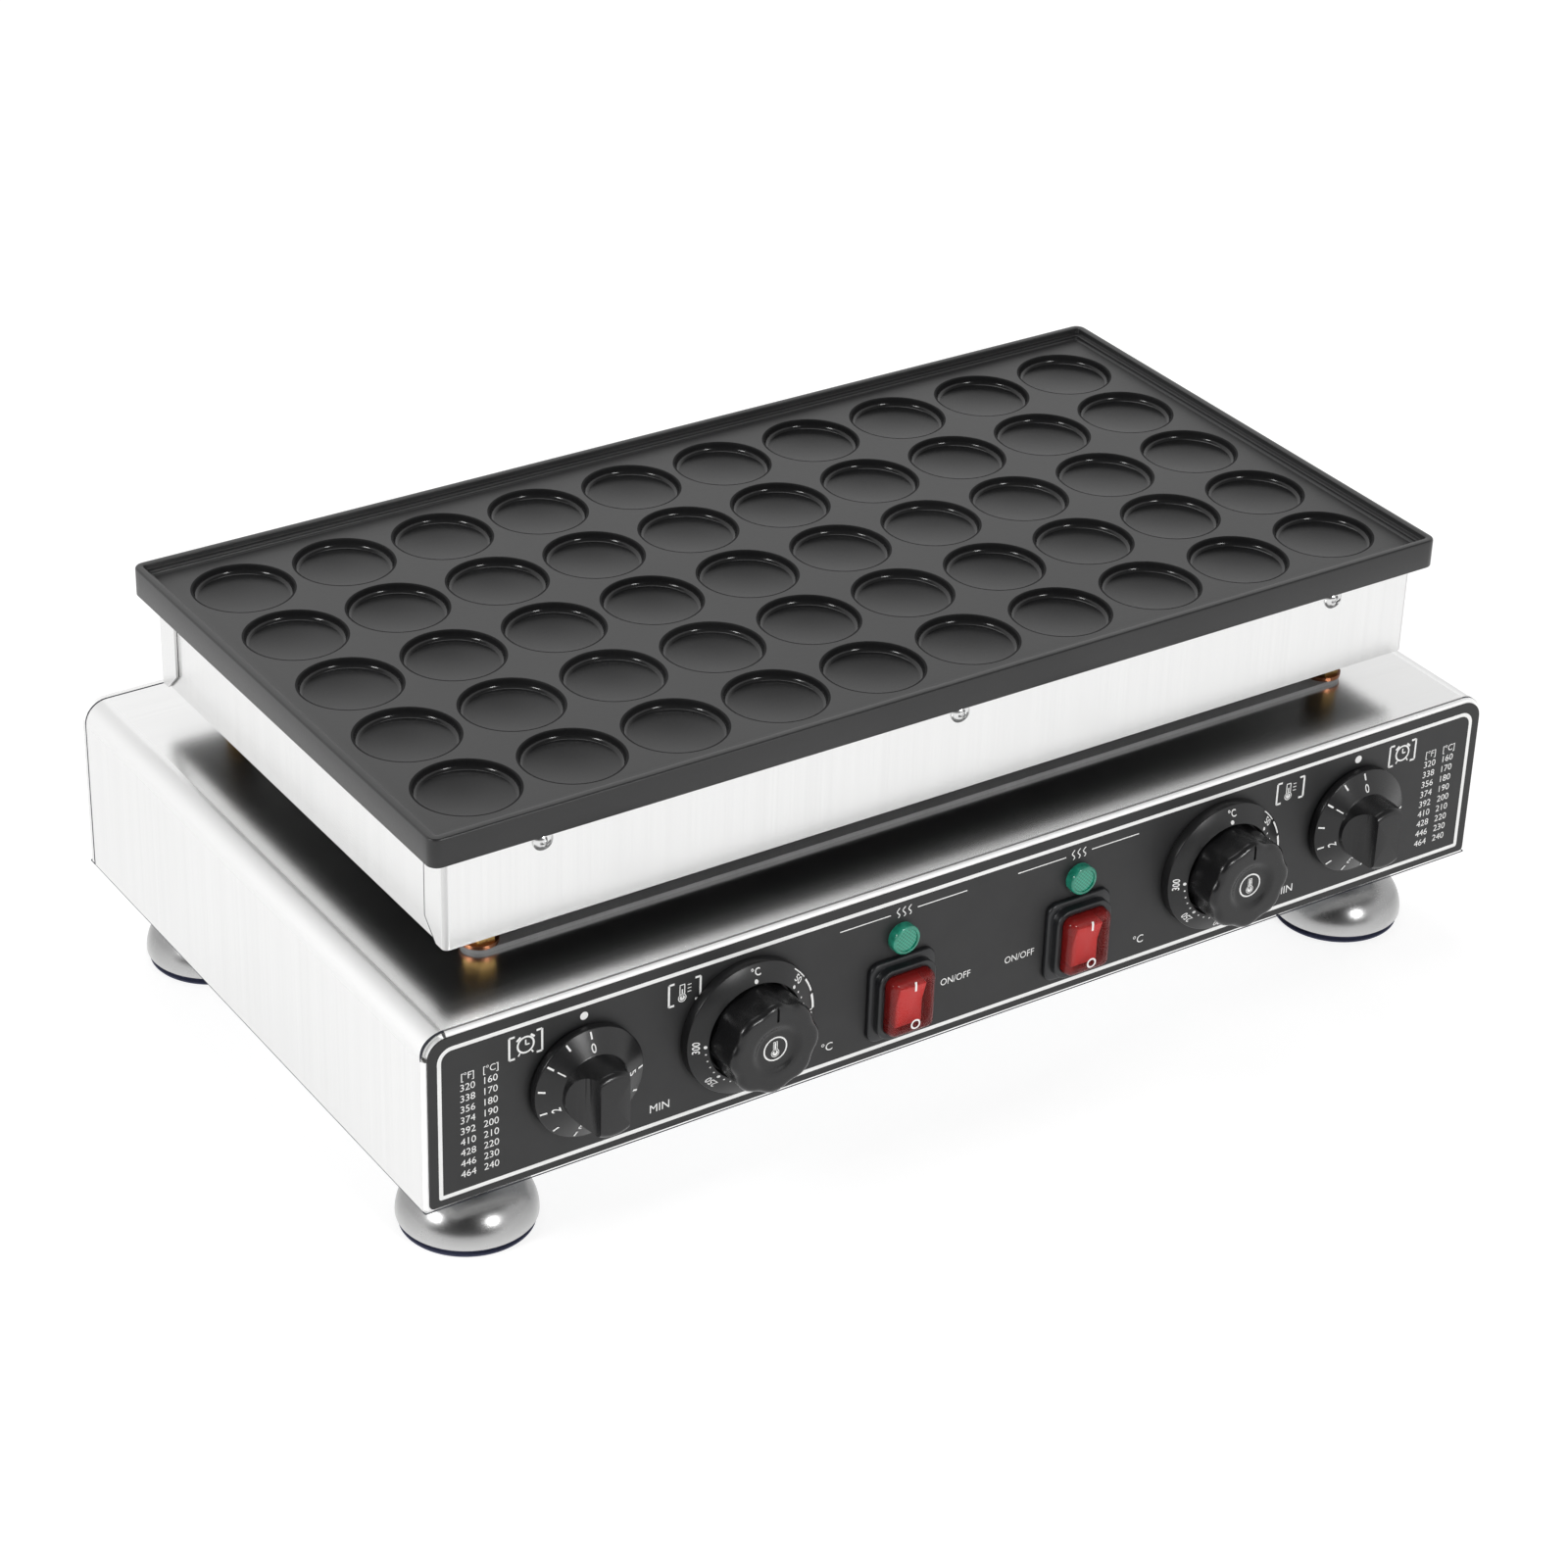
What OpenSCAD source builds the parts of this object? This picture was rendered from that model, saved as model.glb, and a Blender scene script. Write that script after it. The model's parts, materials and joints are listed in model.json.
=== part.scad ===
// Electric table baker: a cast griddle with a grid of round dished cavities on a stainless box,
// carried on brass studs above a folded stainless base with two sets of controls.
// Millimetres. +X to the right seen from the front, +Y to the back, +Z up, Z = 0 under the feet.

/* [Cooking plate] */
// Cavities along X
cavity_cols = 10; // [9:1:12]
// Cavities along Y
cavity_rows = 5; // [5:1:6]
// Distance between cavity centres
cavity_pitch = 50; // [49:0.5:56]
// Diameter of a cavity at the land
cavity_d = 45; // [38:0.5:45]
// Depth of a cavity at its wall
cavity_depth = 5; // [4:0.25:6]
// Extra depth of the dished cavity floor at its middle
cavity_dish = 1; // [0.5:0.1:1.5]
// Radius between a cavity's wall and its floor
cavity_fillet = 2.5; // [1.5:0.25:3.5]
// Land outside the last cavities, left and right
plate_margin_x = 14; // [12:0.5:20]
// Land outside the last cavities, front and back
plate_margin_y = 14.5; // [12:0.5:20]
// Thickness of the casting under the land
plate_t = 9; // [8.5:0.25:12]
// Height of the rim above the land
rim_h = 4.6; // [4:0.2:6]
// Width of the rim at its top
rim_w = 3.6; // [3:0.2:4.5]
// Height of the ledge inside the rim, above the land
ledge_h = 2; // [1:0.2:2.6]
// Width of the ledge inside the rim
ledge_w = 2.5; // [1.5:0.25:3.5]
// Radius of the plate's corners in plan
plate_corner_r = 5; // [4:0.5:8]
// Radius of the rim's outer top edge
plate_edge_r = 1; // [0.5:0.25:1.5]
// Thickness of the skirt under the plate, inside the box
skirt_t = 8; // [6:0.5:10]
// Height of the skirt under the plate
skirt_h = 11; // [10:0.5:14]

/* [Upper box] */
// Plate overhang past the box, left and right
lip_x = 8.5; // [5:0.5:12]
// Plate overhang past the box, front and back
lip_y = 6.5; // [5:0.5:12]
// Height of the box walls
box_h = 44.5; // [42:0.5:60]
// Gap between the base top and the box underside
box_gap = 17; // [15:0.5:26]
// Length of the tabs that the front and rear sheets fold onto the sides
tab_l = 16; // [12:0.5:20]
// Height of the slanting cut at the tabs' lower ends
tab_cut = 9; // [5:0.5:11]
// Outer bend radius of the box's upright corners
box_bend_r = 2.5; // [2:0.25:4]
// Height of the floor tray's turned-up edge
tray_edge_h = 10; // [8:1:14]
// Diameter of the box screws' heads
screw_head_d = 9.5; // [8:0.5:11]
// Distance of the outer box screws from the middle one
box_screw_x = 207; // [160:1:215]
// Box screw centre below the plate's underside
box_screw_drop = 5.6; // [5:0.2:7]

/* [Base] */
// Sheet thickness of the base and the box
sheet = 1.2; // [0.8:0.1:1.5]
// Base past the box, left and right
base_step_x = 27; // [20:1:40]
// Base past the box, front and back
base_step_y = 30.5; // [26:0.5:45]
// Height of the base's body
base_h = 85.5; // [83:0.5:110]
// Outer bend radius of the base's top edges
base_bend_r = 11; // [8:0.5:16]
// Depth of the front and rear pans that close the base
pan_depth = 4.6; // [4.4:0.2:6]
// Outer edge radius of the pans
pan_edge_r = 2.2; // [1.6:0.1:2.2]
// Depth of the pans' flange inside the shell
pan_flange = 10; // [6:1:14]
// Thickness of the black control panel
panel_t = 0.8; // [0.5:0.1:1.5]
// Inset of the control panel from the base's outline
panel_inset = 1.9; // [1:0.1:4]
// Width of the shell's turned-in bottom edges
shell_flange = 15; // [12:1:20]
// Vent slot width in the bottom and the back
vent_w = 4.4; // [3:0.2:6]
// Vent slot length
vent_l = 34; // [24:1:40]
// Gap between the ends of vent slots
vent_gap = 10; // [6:1:16]

/* [Feet] */
// Diameter of a foot
foot_d = 61.6; // [54:0.2:70]
// Height of a foot's metal, to the base's bottom edge
foot_h = 38; // [34:0.5:48]
// Radius of the foot's round shoulder
foot_shoulder_r = 20; // [16:0.5:22]
// Diameter of the foot's neck
foot_neck_d = 24; // [20:0.5:28]
// Distance of a foot's centre from the base's sides
foot_inset_x = 41.3; // [38:0.1:60]
// Distance of a foot's centre from the base's front and back
foot_inset_y = 40.4; // [38:0.1:60]
// Height of the rubber pad below the metal
pad_out = 3; // [2:0.25:5]
// Depth of the pad's seat in the foot
pad_seat = 2; // [1.5:0.25:3]
// Diameter of the rubber pad
pad_d = 55; // [44:0.5:56]

/* [Studs] */
// Diameter of the brass studs
stud_d = 8; // [6:0.5:9]
// Distance of the studs from the box's sides
stud_inset_x = 28; // [22:0.5:40]
// Distance of the studs from the box's front and back
stud_inset_y = 21.5; // [20:0.5:40]
// Width of the support rails
rail_w = 16; // [14:0.5:22]
// Thickness of the support rails
rail_t = 2; // [1.5:0.25:4]
// Diameter of the copper washers
washer_d = 17; // [14:0.5:22]
// Thickness of the copper washers
washer_t = 1.8; // [1:0.1:2.5]
// Width across the flats of the hexagonal pieces on the studs
hex_af = 13; // [11:0.5:15]

/* [Timers] */
// Distance of the timers from the middle
timer_x = 205.4; // [195:0.2:225]
// Diameter of the timer knob's skirt
timer_skirt_d = 52; // [44:0.5:56]
// Height of the skirt's straight edge above the knob's back
timer_edge_h = 4; // [2:0.25:5]
// Diameter of the timer knob's grip
timer_grip_d = 31; // [26:0.5:34]
// Height of the timer knob above the panel
timer_reach = 25.5; // [22:0.5:32]
// Width of the grip bar at its front
timer_bar_w = 14; // [10:0.5:16]
// Radius of the finger scoops beside the bar
timer_scoop_r = 16; // [14:0.5:16]
// Width and height of the timer's body behind the panel
timer_body_w = 46; // [40:1:50]
// Depth of the timer's body behind the panel
timer_body_l = 30; // [24:1:40]

/* [Thermostats] */
// Distance of the thermostats from the middle
thermostat_x = 126.5; // [116:0.5:140]
// Height of timers and thermostats above the base's bottom edge
dial_z = 42.7; // [40:0.1:44]
// Outer diameter of the fixed dial ring
ring_d = 63.6; // [58:0.2:68]
// Height of the dial ring at its outside
ring_edge_h = 5; // [3:0.25:6]
// Height of the dial ring at its inside
ring_h = 8.3; // [7:0.1:10]
// Diameter of the thermostat knob
thermo_knob_d = 44; // [38:0.5:46]
// Height of the thermostat knob above the panel
thermo_reach = 25; // [21:0.5:30]
// Number of finger hollows round the thermostat knob
thermo_lobes = 8; // [6:1:10]
// Depth of a finger hollow
thermo_hollow = 1.3; // [1:0.1:2.2]
// Radius of a finger hollow
thermo_hollow_r = 8; // [7:0.5:10]
// Depth of the dish in the knob's face
thermo_dish = 1.5; // [0.8:0.1:2]
// Width of the thermostat's body behind the panel
thermo_body_w = 42; // [36:1:50]
// Height of the thermostat's body behind the panel
thermo_body_h = 38; // [32:1:46]
// Depth of the thermostat's body behind the panel
thermo_body_l = 34; // [26:1:44]

/* [Switches and lamps] */
// Distance of the switches and lamps from the middle
switch_x = 47.3; // [44:0.1:60]
// Height of the switches above the base's bottom edge
switch_z = 30.5; // [28:0.5:34]
// Width of the switch frame
frame_w = 34; // [33:0.5:38]
// Height of the switch frame
frame_h = 40; // [38:0.5:42]
// Width of the red boot
boot_w = 23.5; // [22:0.5:26]
// Height of the red boot
boot_h = 29; // [28:0.5:31]
// Height of the boot's front above the panel
boot_reach = 12.5; // [12:0.25:15]
// Wall of the boot
boot_wall = 1.2; // [0.8:0.1:1.4]
// Edge radius of the boot
boot_r = 4; // [3:0.25:4.5]
// Width of the rocker
rocker_w = 14; // [12:0.5:16]
// Height of the rocker
rocker_h = 21.5; // [18:0.5:22]
// Turn of the rocker from off to on, in degrees
rocker_throw = 16; // [10:1:16]
// Height of the lamps above the base's bottom edge
lamp_z = 59.7; // [58:0.1:64]
// Diameter of the lamp lens
lamp_d = 14; // [12:0.5:16]
// Height of the lamp lens above the panel
lamp_reach = 4.5; // [3.5:0.25:6]

/* [Heating] */
// Diameter of the tubular heaters
heater_d = 8; // [6.5:0.25:8.5]
// Distance between a heater's straight runs
heater_pitch = 40; // [36:1:42]
// Straight runs of one heater
heater_runs = 6; // [4:2:6]
// Length of a heater's straight runs
heater_run_l = 172; // [150:1:175]
// Thickness of the insulation mat
mat_t = 15; // [10:1:18]
// Gap between the mat and the pieces beside it
mat_clear = 4; // [2:0.5:8]
// Diameter of the thermostat bulbs
bulb_d = 6; // [4.5:0.25:6]
// Length of the thermostat bulbs
bulb_l = 100; // [70:1:130]
// Diameter of the capillary tubes
capillary_d = 2; // [1.6:0.1:2.6]

/* [Cable gland] */
// Distance of the gland from the middle
gland_x = 200; // [120:1:220]
// Height of the gland above the base's bottom edge
gland_z = 34; // [28:0.5:60]
// Reach of the gland behind the base
gland_reach = 25.5; // [20:0.5:32]
// Diameter of the gland's thread
gland_thread_d = 20; // [16:0.5:22]
// Diameter of the gland's cable bore
gland_bore_d = 10; // [8:0.5:12]

/* [Fits] */
// Gap between pieces that are slipped together
slip = 0.2; // [0.1:0.05:0.3]
// Radial gap of a turning shaft in its bore
running = 0.05; // [0.02:0.01:0.1]
// Gap between a turning piece and the fixed piece beside it
free_gap = 0.8; // [0.5:0.1:1.2]
// Diameter of the control shafts
shaft_d = 6; // [5:0.25:6.5]

/* [Hidden] */
$fn = 64;
eps = 0.01;

// Plan sizes follow from the grid of cavities
plate_w = (cavity_cols - 1) * cavity_pitch + cavity_d + 2 * plate_margin_x;
plate_d = (cavity_rows - 1) * cavity_pitch + cavity_d + 2 * plate_margin_y;
box_w = plate_w - 2 * lip_x;
box_d = plate_d - 2 * lip_y;
base_w = box_w + 2 * base_step_x;
base_d = box_d + 2 * base_step_y;

// Heights above the table
base_z0 = pad_out + foot_h;
base_z1 = base_z0 + base_h;
box_z0 = base_z1 + box_gap;
box_z1 = box_z0 + box_h;
land_z = box_z1 + plate_t;
cover_z = base_z0 + sheet;

// Planes along Y
panel_y = -base_d / 2;
pan_front_y = panel_y + panel_t;
shell_y0 = pan_front_y + pan_depth + slip;
shell_y1 = base_d / 2 - pan_depth - slip;
pan_wall = 2 * sheet + slip;

// Fixings shared by several pieces
small_screw_d = 4;
cover_screw_inset = shell_flange / 2;
foot_bolt_d = 8;
foot_head_h = 5.5;
foot_boss_h = 8;
stud_x = box_w / 2 - stud_inset_x;
stud_y = box_d / 2 - stud_inset_y;
foot_x = base_w / 2 - foot_inset_x;
foot_y = base_d / 2 - foot_inset_y;
bushing_d = 9;
bushing_out = 2;
box_screw_z = box_z1 - box_screw_drop;
skirt_w = box_w - 2 * (2 * sheet + 2 * slip);
skirt_d = box_d - 2 * (sheet + slip);
heater_z = box_z1 - slip - heater_d / 2;
clamp_t = 2.3;
clamp_w = 20;
clamp_z = heater_z - heater_d / 2 - clamp_t;
clamp_bolt_d = 6;
clamp_bolt_y = 1.5 * cavity_pitch;
clamp_xs = [2 * cavity_pitch, 4 * cavity_pitch];
heater_x0 = 20;
sleeve_d = 30;
sleeve_wall = 2;
sleeve_flange = 7;
sleeve_tail = 6;
sleeve_y = 0;
lamp_stem_d = 9.6;
housing_w = boot_w + 1.6;
housing_h = boot_h + 1.6;
rocker_pin_d = 3;

// Plain helpers

// Upright rectangle with its lower edge on y = 0, centred on x
module rounded_rect(w, h, r_top, r_bottom) {
  union() {
    translate([-w / 2, r_bottom]) square([w, h - r_top - r_bottom]);
    if (r_top > 0) {
      translate([-w / 2 + r_top, h - r_top - eps]) square([w - 2 * r_top, r_top + eps]);
      for (s = [-1, 1]) translate([s * (w / 2 - r_top), h - r_top]) circle(r_top);
    }
    if (r_bottom > 0) {
      translate([-w / 2 + r_bottom, 0]) square([w - 2 * r_bottom, r_bottom + eps]);
      for (s = [-1, 1]) translate([s * (w / 2 - r_bottom), r_bottom]) circle(r_bottom);
    }
  }
}

module corner_ball(r, e) {
  if (r > e) rotate_extrude() translate([r - e, 0]) circle(e);
  else sphere(e);
}

// Slab on z = 0 whose upper edge is rounded all the way round, by less than half its thickness
module soft_slab(w, h, t, r_top, r_bottom, e) {
  union() {
    linear_extrude(t - e) rounded_rect(w, h, r_top, r_bottom);
    translate([0, e, 0]) linear_extrude(t) rounded_rect(w - 2 * e, h - 2 * e, r_top - e, r_bottom - e);
    for (s = [-1, 1]) {
      translate([s * (w / 2 - e), r_bottom, t - e]) rotate([-90, 0, 0])
        cylinder(h = h - r_top - r_bottom, r = e);
      translate([s * (w / 2 - r_top), h - r_top, t - e]) corner_ball(r_top, e);
      translate([s * (w / 2 - r_bottom), r_bottom, t - e]) corner_ball(r_bottom, e);
    }
    translate([-w / 2 + r_top, h - e, t - e]) rotate([0, 90, 0]) cylinder(h = w - 2 * r_top, r = e);
    translate([-w / 2 + r_bottom, e, t - e]) rotate([0, 90, 0]) cylinder(h = w - 2 * r_bottom, r = e);
  }
}

module tube(h, d_out, d_in) {
  difference() {
    cylinder(h = h, d = d_out);
    translate([0, 0, -1]) cylinder(h = h + 2, d = d_in);
  }
}

module hex_prism(h, across_flats) {
  cylinder(h = h, d = across_flats / cos(30), $fn = 6);
}

module hex_nut(h, across_flats, d_in) {
  difference() {
    hex_prism(h, across_flats);
    translate([0, 0, -1]) cylinder(h = h + 2, d = d_in);
  }
}

module elbow(d, bend) {
  rotate_extrude(angle = 90) translate([bend, 0]) circle(d = d);
}

module pan_head_screw(head_d, shank_d, shank_l) {
  // Head above z = 0, cross recess in its top
  head_h = 0.32 * head_d;
  cross_w = 0.14 * head_d;
  cross_l = 0.55 * head_d;
  difference() {
    union() {
      translate([0, 0, -shank_l]) cylinder(h = shank_l + eps, d = shank_d);
      intersection() {
        cylinder(h = head_h, d = head_d);
        translate([0, 0, head_h - 0.75 * head_d]) sphere(0.75 * head_d);
      }
    }
    for (a = [0, 90]) {
      rotate([0, 0, a]) translate([-cross_l / 2, -cross_w / 2, 0.45 * head_h])
        cube([cross_l, cross_w, head_h]);
    }
  }
}

module mirror_pair() {
  children();
  mirror([1, 0, 0]) children();
}

module four_corners(x, y) {
  for (sx = [-1, 1], sy = [-1, 1]) translate([sx * x, sy * y, 0]) children();
}

// Local z points out of the control panel, local y points up
module on_panel(x, z) {
  translate([x, panel_y, base_z0 + z]) rotate([90, 0, 0]) children();
}

// Base

module shell_profile() {
  difference() {
    rounded_rect(base_w, base_h, base_bend_r, 0);
    translate([0, sheet]) rounded_rect(base_w - 2 * sheet, base_h - 2 * sheet, base_bend_r - sheet, 0);
    translate([-base_w / 2 + shell_flange, -1]) square([base_w - 2 * shell_flange, sheet + 2]);
  }
}

module cover_screw_places() {
  for (y = [-1, 0, 1]) {
    mirror_pair() translate([base_w / 2 - cover_screw_inset, y * (base_d / 2 - 2 * foot_inset_y), 0])
      children();
  }
}

module base_shell() {
  color([0.86, 0.87, 0.88]) difference() {
    translate([0, shell_y1, base_z0]) rotate([90, 0, 0]) linear_extrude(shell_y1 - shell_y0)
      shell_profile();
    four_corners(stud_x, stud_y) translate([0, 0, base_z1 - 2 * sheet])
      cylinder(h = 3 * sheet, d = stud_d + 2 * slip);
    translate([0, sleeve_y, base_z1 - 2 * sheet]) cylinder(h = 3 * sheet, d = sleeve_d + 2 * slip);
    translate([0, 0, base_z0 - 1]) cover_screw_places()
      cylinder(h = sheet + 2, d = small_screw_d + 2 * slip);
  }
}

// Pan on z = 0 facing +z, with its flange behind it
module pan() {
  flange_in = sheet + slip;
  translate([0, 0, -pan_depth]) difference() {
    union() {
      soft_slab(base_w, base_h, pan_depth, base_bend_r, pan_edge_r, pan_edge_r);
      translate([0, flange_in, -pan_flange]) linear_extrude(pan_flange + eps)
        rounded_rect(base_w - 2 * flange_in, base_h - 2 * flange_in, base_bend_r - flange_in, 0);
    }
    translate([0, pan_wall, -pan_flange - 1]) linear_extrude(pan_flange + pan_depth - sheet + 1)
      rounded_rect(base_w - 2 * pan_wall, base_h - 2 * pan_wall, base_bend_r - pan_wall, 0);
  }
}

module control_holes() {
  mirror_pair() {
    translate([timer_x, dial_z]) circle(d = bushing_d + 2 * slip);
    translate([thermostat_x, dial_z]) circle(d = bushing_d + 2 * slip);
    translate([switch_x - housing_w / 2 - slip, switch_z - housing_h / 2 - slip])
      square([housing_w + 2 * slip, housing_h + 2 * slip]);
    translate([switch_x, lamp_z]) circle(d = lamp_stem_d + 2 * slip);
  }
}

module front_plate() {
  color([0.84, 0.85, 0.86]) translate([0, pan_front_y, base_z0]) rotate([90, 0, 0]) difference() {
    pan();
    translate([0, 0, -2 * pan_depth]) linear_extrude(3 * pan_depth) control_holes();
  }
}

module slot(l, w) {
  union() {
    translate([-l / 2 + w / 2, -w / 2]) square([l - w, w]);
    for (s = [-1, 1]) translate([s * (l / 2 - w / 2), 0]) circle(d = w);
  }
}

module rear_vents() {
  pitch_x = vent_l + vent_gap;
  pitch_z = 2.6 * vent_w;
  for (i = [-2 : 1], k = [-1, 0, 1]) translate([(i + 0.5) * pitch_x, base_h / 2 + k * pitch_z])
    slot(vent_l, vent_w);
}

module rear_plate() {
  color([0.84, 0.85, 0.86]) translate([0, base_d / 2, base_z0]) rotate([90, 0, 180]) difference() {
    pan();
    translate([0, 0, -2 * pan_depth]) linear_extrude(3 * pan_depth) {
      rear_vents();
      translate([-gland_x, gland_z]) circle(d = gland_thread_d + 2 * slip);
    }
  }
}

module control_panel() {
  w = base_w - 2 * panel_inset;
  h = base_h - 2 * panel_inset;
  color([0.13, 0.13, 0.13]) translate([0, pan_front_y, base_z0 + panel_inset]) rotate([90, 0, 0])
    linear_extrude(panel_t) difference() {
      rounded_rect(w, h, base_bend_r - panel_inset, panel_inset);
      translate([0, -panel_inset]) control_holes();
    }
}

module cover_vents() {
  pitch_x = vent_l + vent_gap;
  pitch_y = 3 * vent_w;
  for (i = [-2 : 2], k = [-2 : 2]) translate([i * pitch_x, k * pitch_y]) slot(vent_l, vent_w);
}

module bottom_cover() {
  w = base_w - 2 * sheet - 2 * slip;
  d = base_d - panel_t - 2 * (pan_depth + pan_flange + slip);
  color([0.72, 0.73, 0.74]) translate([0, panel_t / 2, cover_z]) difference() {
    union() {
      linear_extrude(sheet) difference() {
        translate([-w / 2, -d / 2]) square([w, d]);
        translate([0, -panel_t / 2]) cover_vents();
      }
      translate([0, -panel_t / 2, sheet - eps]) four_corners(foot_x, foot_y)
        cylinder(h = foot_boss_h, d = 2 * foot_bolt_d);
    }
    translate([0, -panel_t / 2, -1]) four_corners(foot_x, foot_y)
      cylinder(h = foot_boss_h + 4, d = foot_bolt_d + 2 * slip);
    translate([0, -panel_t / 2, -1]) cover_screw_places()
      cylinder(h = sheet + 2, d = small_screw_d + 2 * slip);
  }
}

module bottom_cover_screws() {
  color([0.75, 0.75, 0.76]) translate([0, 0, base_z0]) cover_screw_places() rotate([180, 0, 0])
    pan_head_screw(2 * small_screw_d, small_screw_d, 4 * sheet + 2);
}

// Feet

module foot_profile() {
  r = foot_d / 2;
  edge = 1.3;
  top = foot_h + sheet;
  flange_t = 2;
  flange_out = 3;
  union() {
    intersection() {
      translate([r - foot_shoulder_r, edge]) circle(foot_shoulder_r);
      translate([0, edge]) square([r, foot_shoulder_r]);
    }
    translate([0, edge]) square([r - foot_shoulder_r, foot_shoulder_r]);
    square([r - edge, edge + eps]);
    translate([r - edge, edge]) circle(edge);
    square([foot_neck_d / 2, top]);
    translate([0, top - flange_t]) square([foot_neck_d / 2 + flange_out, flange_t]);
  }
}

module foot(sx, sy) {
  color([0.8, 0.81, 0.82]) translate([sx * foot_x, sy * foot_y, pad_out]) difference() {
    rotate_extrude() foot_profile();
    translate([0, 0, -1]) cylinder(h = pad_seat + 1, d = pad_d + 2 * slip);
    translate([0, 0, -1]) cylinder(h = foot_h + 4, d = foot_bolt_d + 2 * slip);
    translate([0, 0, -1]) cylinder(h = pad_seat + 1 + foot_head_h + slip, d = 2.2 * foot_bolt_d);
  }
}

module foot_front_left() { foot(-1, -1); }
module foot_front_right() { foot(1, -1); }
module foot_rear_left() { foot(-1, 1); }
module foot_rear_right() { foot(1, 1); }

module foot_pads() {
  edge = 1;
  color([0.1, 0.11, 0.16]) four_corners(foot_x, foot_y) rotate_extrude() union() {
    square([pad_d / 2 - edge, pad_out + pad_seat]);
    translate([0, edge]) square([pad_d / 2, pad_out + pad_seat - edge]);
    translate([pad_d / 2 - edge, edge]) circle(edge);
  }
}

module foot_bolts() {
  z0 = pad_out + pad_seat + slip;
  color([0.7, 0.7, 0.71]) four_corners(foot_x, foot_y) union() {
    translate([0, 0, z0]) hex_prism(foot_head_h, 1.6 * foot_bolt_d);
    translate([0, 0, z0]) cylinder(h = cover_z + sheet + foot_boss_h + 2 - z0, d = foot_bolt_d);
  }
}

// Studs between base and box

module stud_places() {
  four_corners(stud_x, stud_y) children();
}

module support_rail(side) {
  color([0.6, 0.6, 0.61]) translate([0, side * stud_y, base_z1]) linear_extrude(rail_t) difference() {
    slot(2 * stud_x + rail_w, rail_w);
    for (s = [-1, 1]) translate([s * stud_x, 0]) circle(d = stud_d + 2 * slip);
  }
}

module support_rail_front() { support_rail(-1); }
module support_rail_rear() { support_rail(1); }

stud_nut_h = 6.5;
stud_end = 2;

module standoff_studs() {
  z0 = base_z1 - sheet - stud_nut_h - stud_end;
  z1 = box_z0 + sheet + stud_nut_h + stud_end;
  color([0.78, 0.6, 0.28]) stud_places() translate([0, 0, z0]) cylinder(h = z1 - z0, d = stud_d);
}

module standoff_spacers() {
  z0 = base_z1 + rail_t + washer_t;
  color([0.78, 0.6, 0.28]) stud_places() translate([0, 0, z0])
    hex_nut(box_z0 - z0, hex_af, stud_d + slip);
}

module stud_washers() {
  color([0.72, 0.42, 0.26]) stud_places() translate([0, 0, base_z1 + rail_t])
    tube(washer_t, washer_d, stud_d + 2 * slip);
}

module stud_nuts() {
  color([0.78, 0.6, 0.28]) stud_places() {
    translate([0, 0, base_z1 - sheet - stud_nut_h]) hex_nut(stud_nut_h, hex_af, stud_d + slip);
    translate([0, 0, box_z0 + sheet]) hex_nut(stud_nut_h, hex_af, stud_d + slip);
  }
}

module wiring_sleeve() {
  z0 = base_z1 - sheet - sleeve_tail;
  color([0.7, 0.71, 0.72]) translate([0, sleeve_y, 0]) union() {
    translate([0, 0, z0]) tube(box_z0 + mat_t - z0, sleeve_d, sleeve_d - 2 * sleeve_wall);
    translate([0, 0, base_z1]) tube(sleeve_wall, sleeve_d + 2 * sleeve_flange, sleeve_d - sleeve_wall);
  }
}

// Upper box

// Wall folded round both upright corners, seen from above with its face on y = 0
module wrapped_wall_plan() {
  r = box_bend_r;
  difference() {
    union() {
      translate([-box_w / 2 + r, 0]) square([box_w - 2 * r, tab_l]);
      translate([-box_w / 2, r]) square([box_w, tab_l - r]);
      for (s = [-1, 1]) translate([s * (box_w / 2 - r), r]) circle(r);
    }
    translate([-box_w / 2 + r, sheet]) square([box_w - 2 * r, tab_l]);
    translate([-box_w / 2 + sheet, r]) square([box_w - 2 * sheet, tab_l]);
    for (s = [-1, 1]) translate([s * (box_w / 2 - r), r]) circle(r - sheet);
  }
}

module wrapped_wall(screws) {
  cut = min(tab_cut, tab_l - box_bend_r);
  difference() {
    linear_extrude(box_h) wrapped_wall_plan();
    // The tabs' lower ends are cut at 45 degrees
    for (s = [-1, 1]) translate([s * box_w / 2 - 2 * sheet, 0, 0]) rotate([90, 0, 90])
      linear_extrude(4 * sheet)
      polygon([[tab_l + 1, -1], [tab_l + 1, cut + 1], [tab_l - cut - 1, -1]]);
    for (x = screws) translate([x, -1, box_h - box_screw_drop]) rotate([-90, 0, 0])
      cylinder(h = sheet + 2, d = small_screw_d + 2 * slip);
  }
}

module box_front() {
  color([0.9, 0.9, 0.91]) translate([0, -box_d / 2, box_z0]) wrapped_wall([-box_screw_x, 0, box_screw_x]);
}

module box_rear() {
  color([0.9, 0.9, 0.91]) rotate([0, 0, 180]) translate([0, -box_d / 2, box_z0])
    wrapped_wall([-box_screw_x, 0, box_screw_x]);
}

module box_side(side) {
  l = box_d - 2 * (sheet + slip);
  color([0.88, 0.88, 0.89])
    translate([side * (box_w / 2 - 1.5 * sheet - slip) - sheet / 2, -l / 2, box_z0])
    cube([sheet, l, box_h]);
}

module box_left() { box_side(-1); }
module box_right() { box_side(1); }

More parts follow.
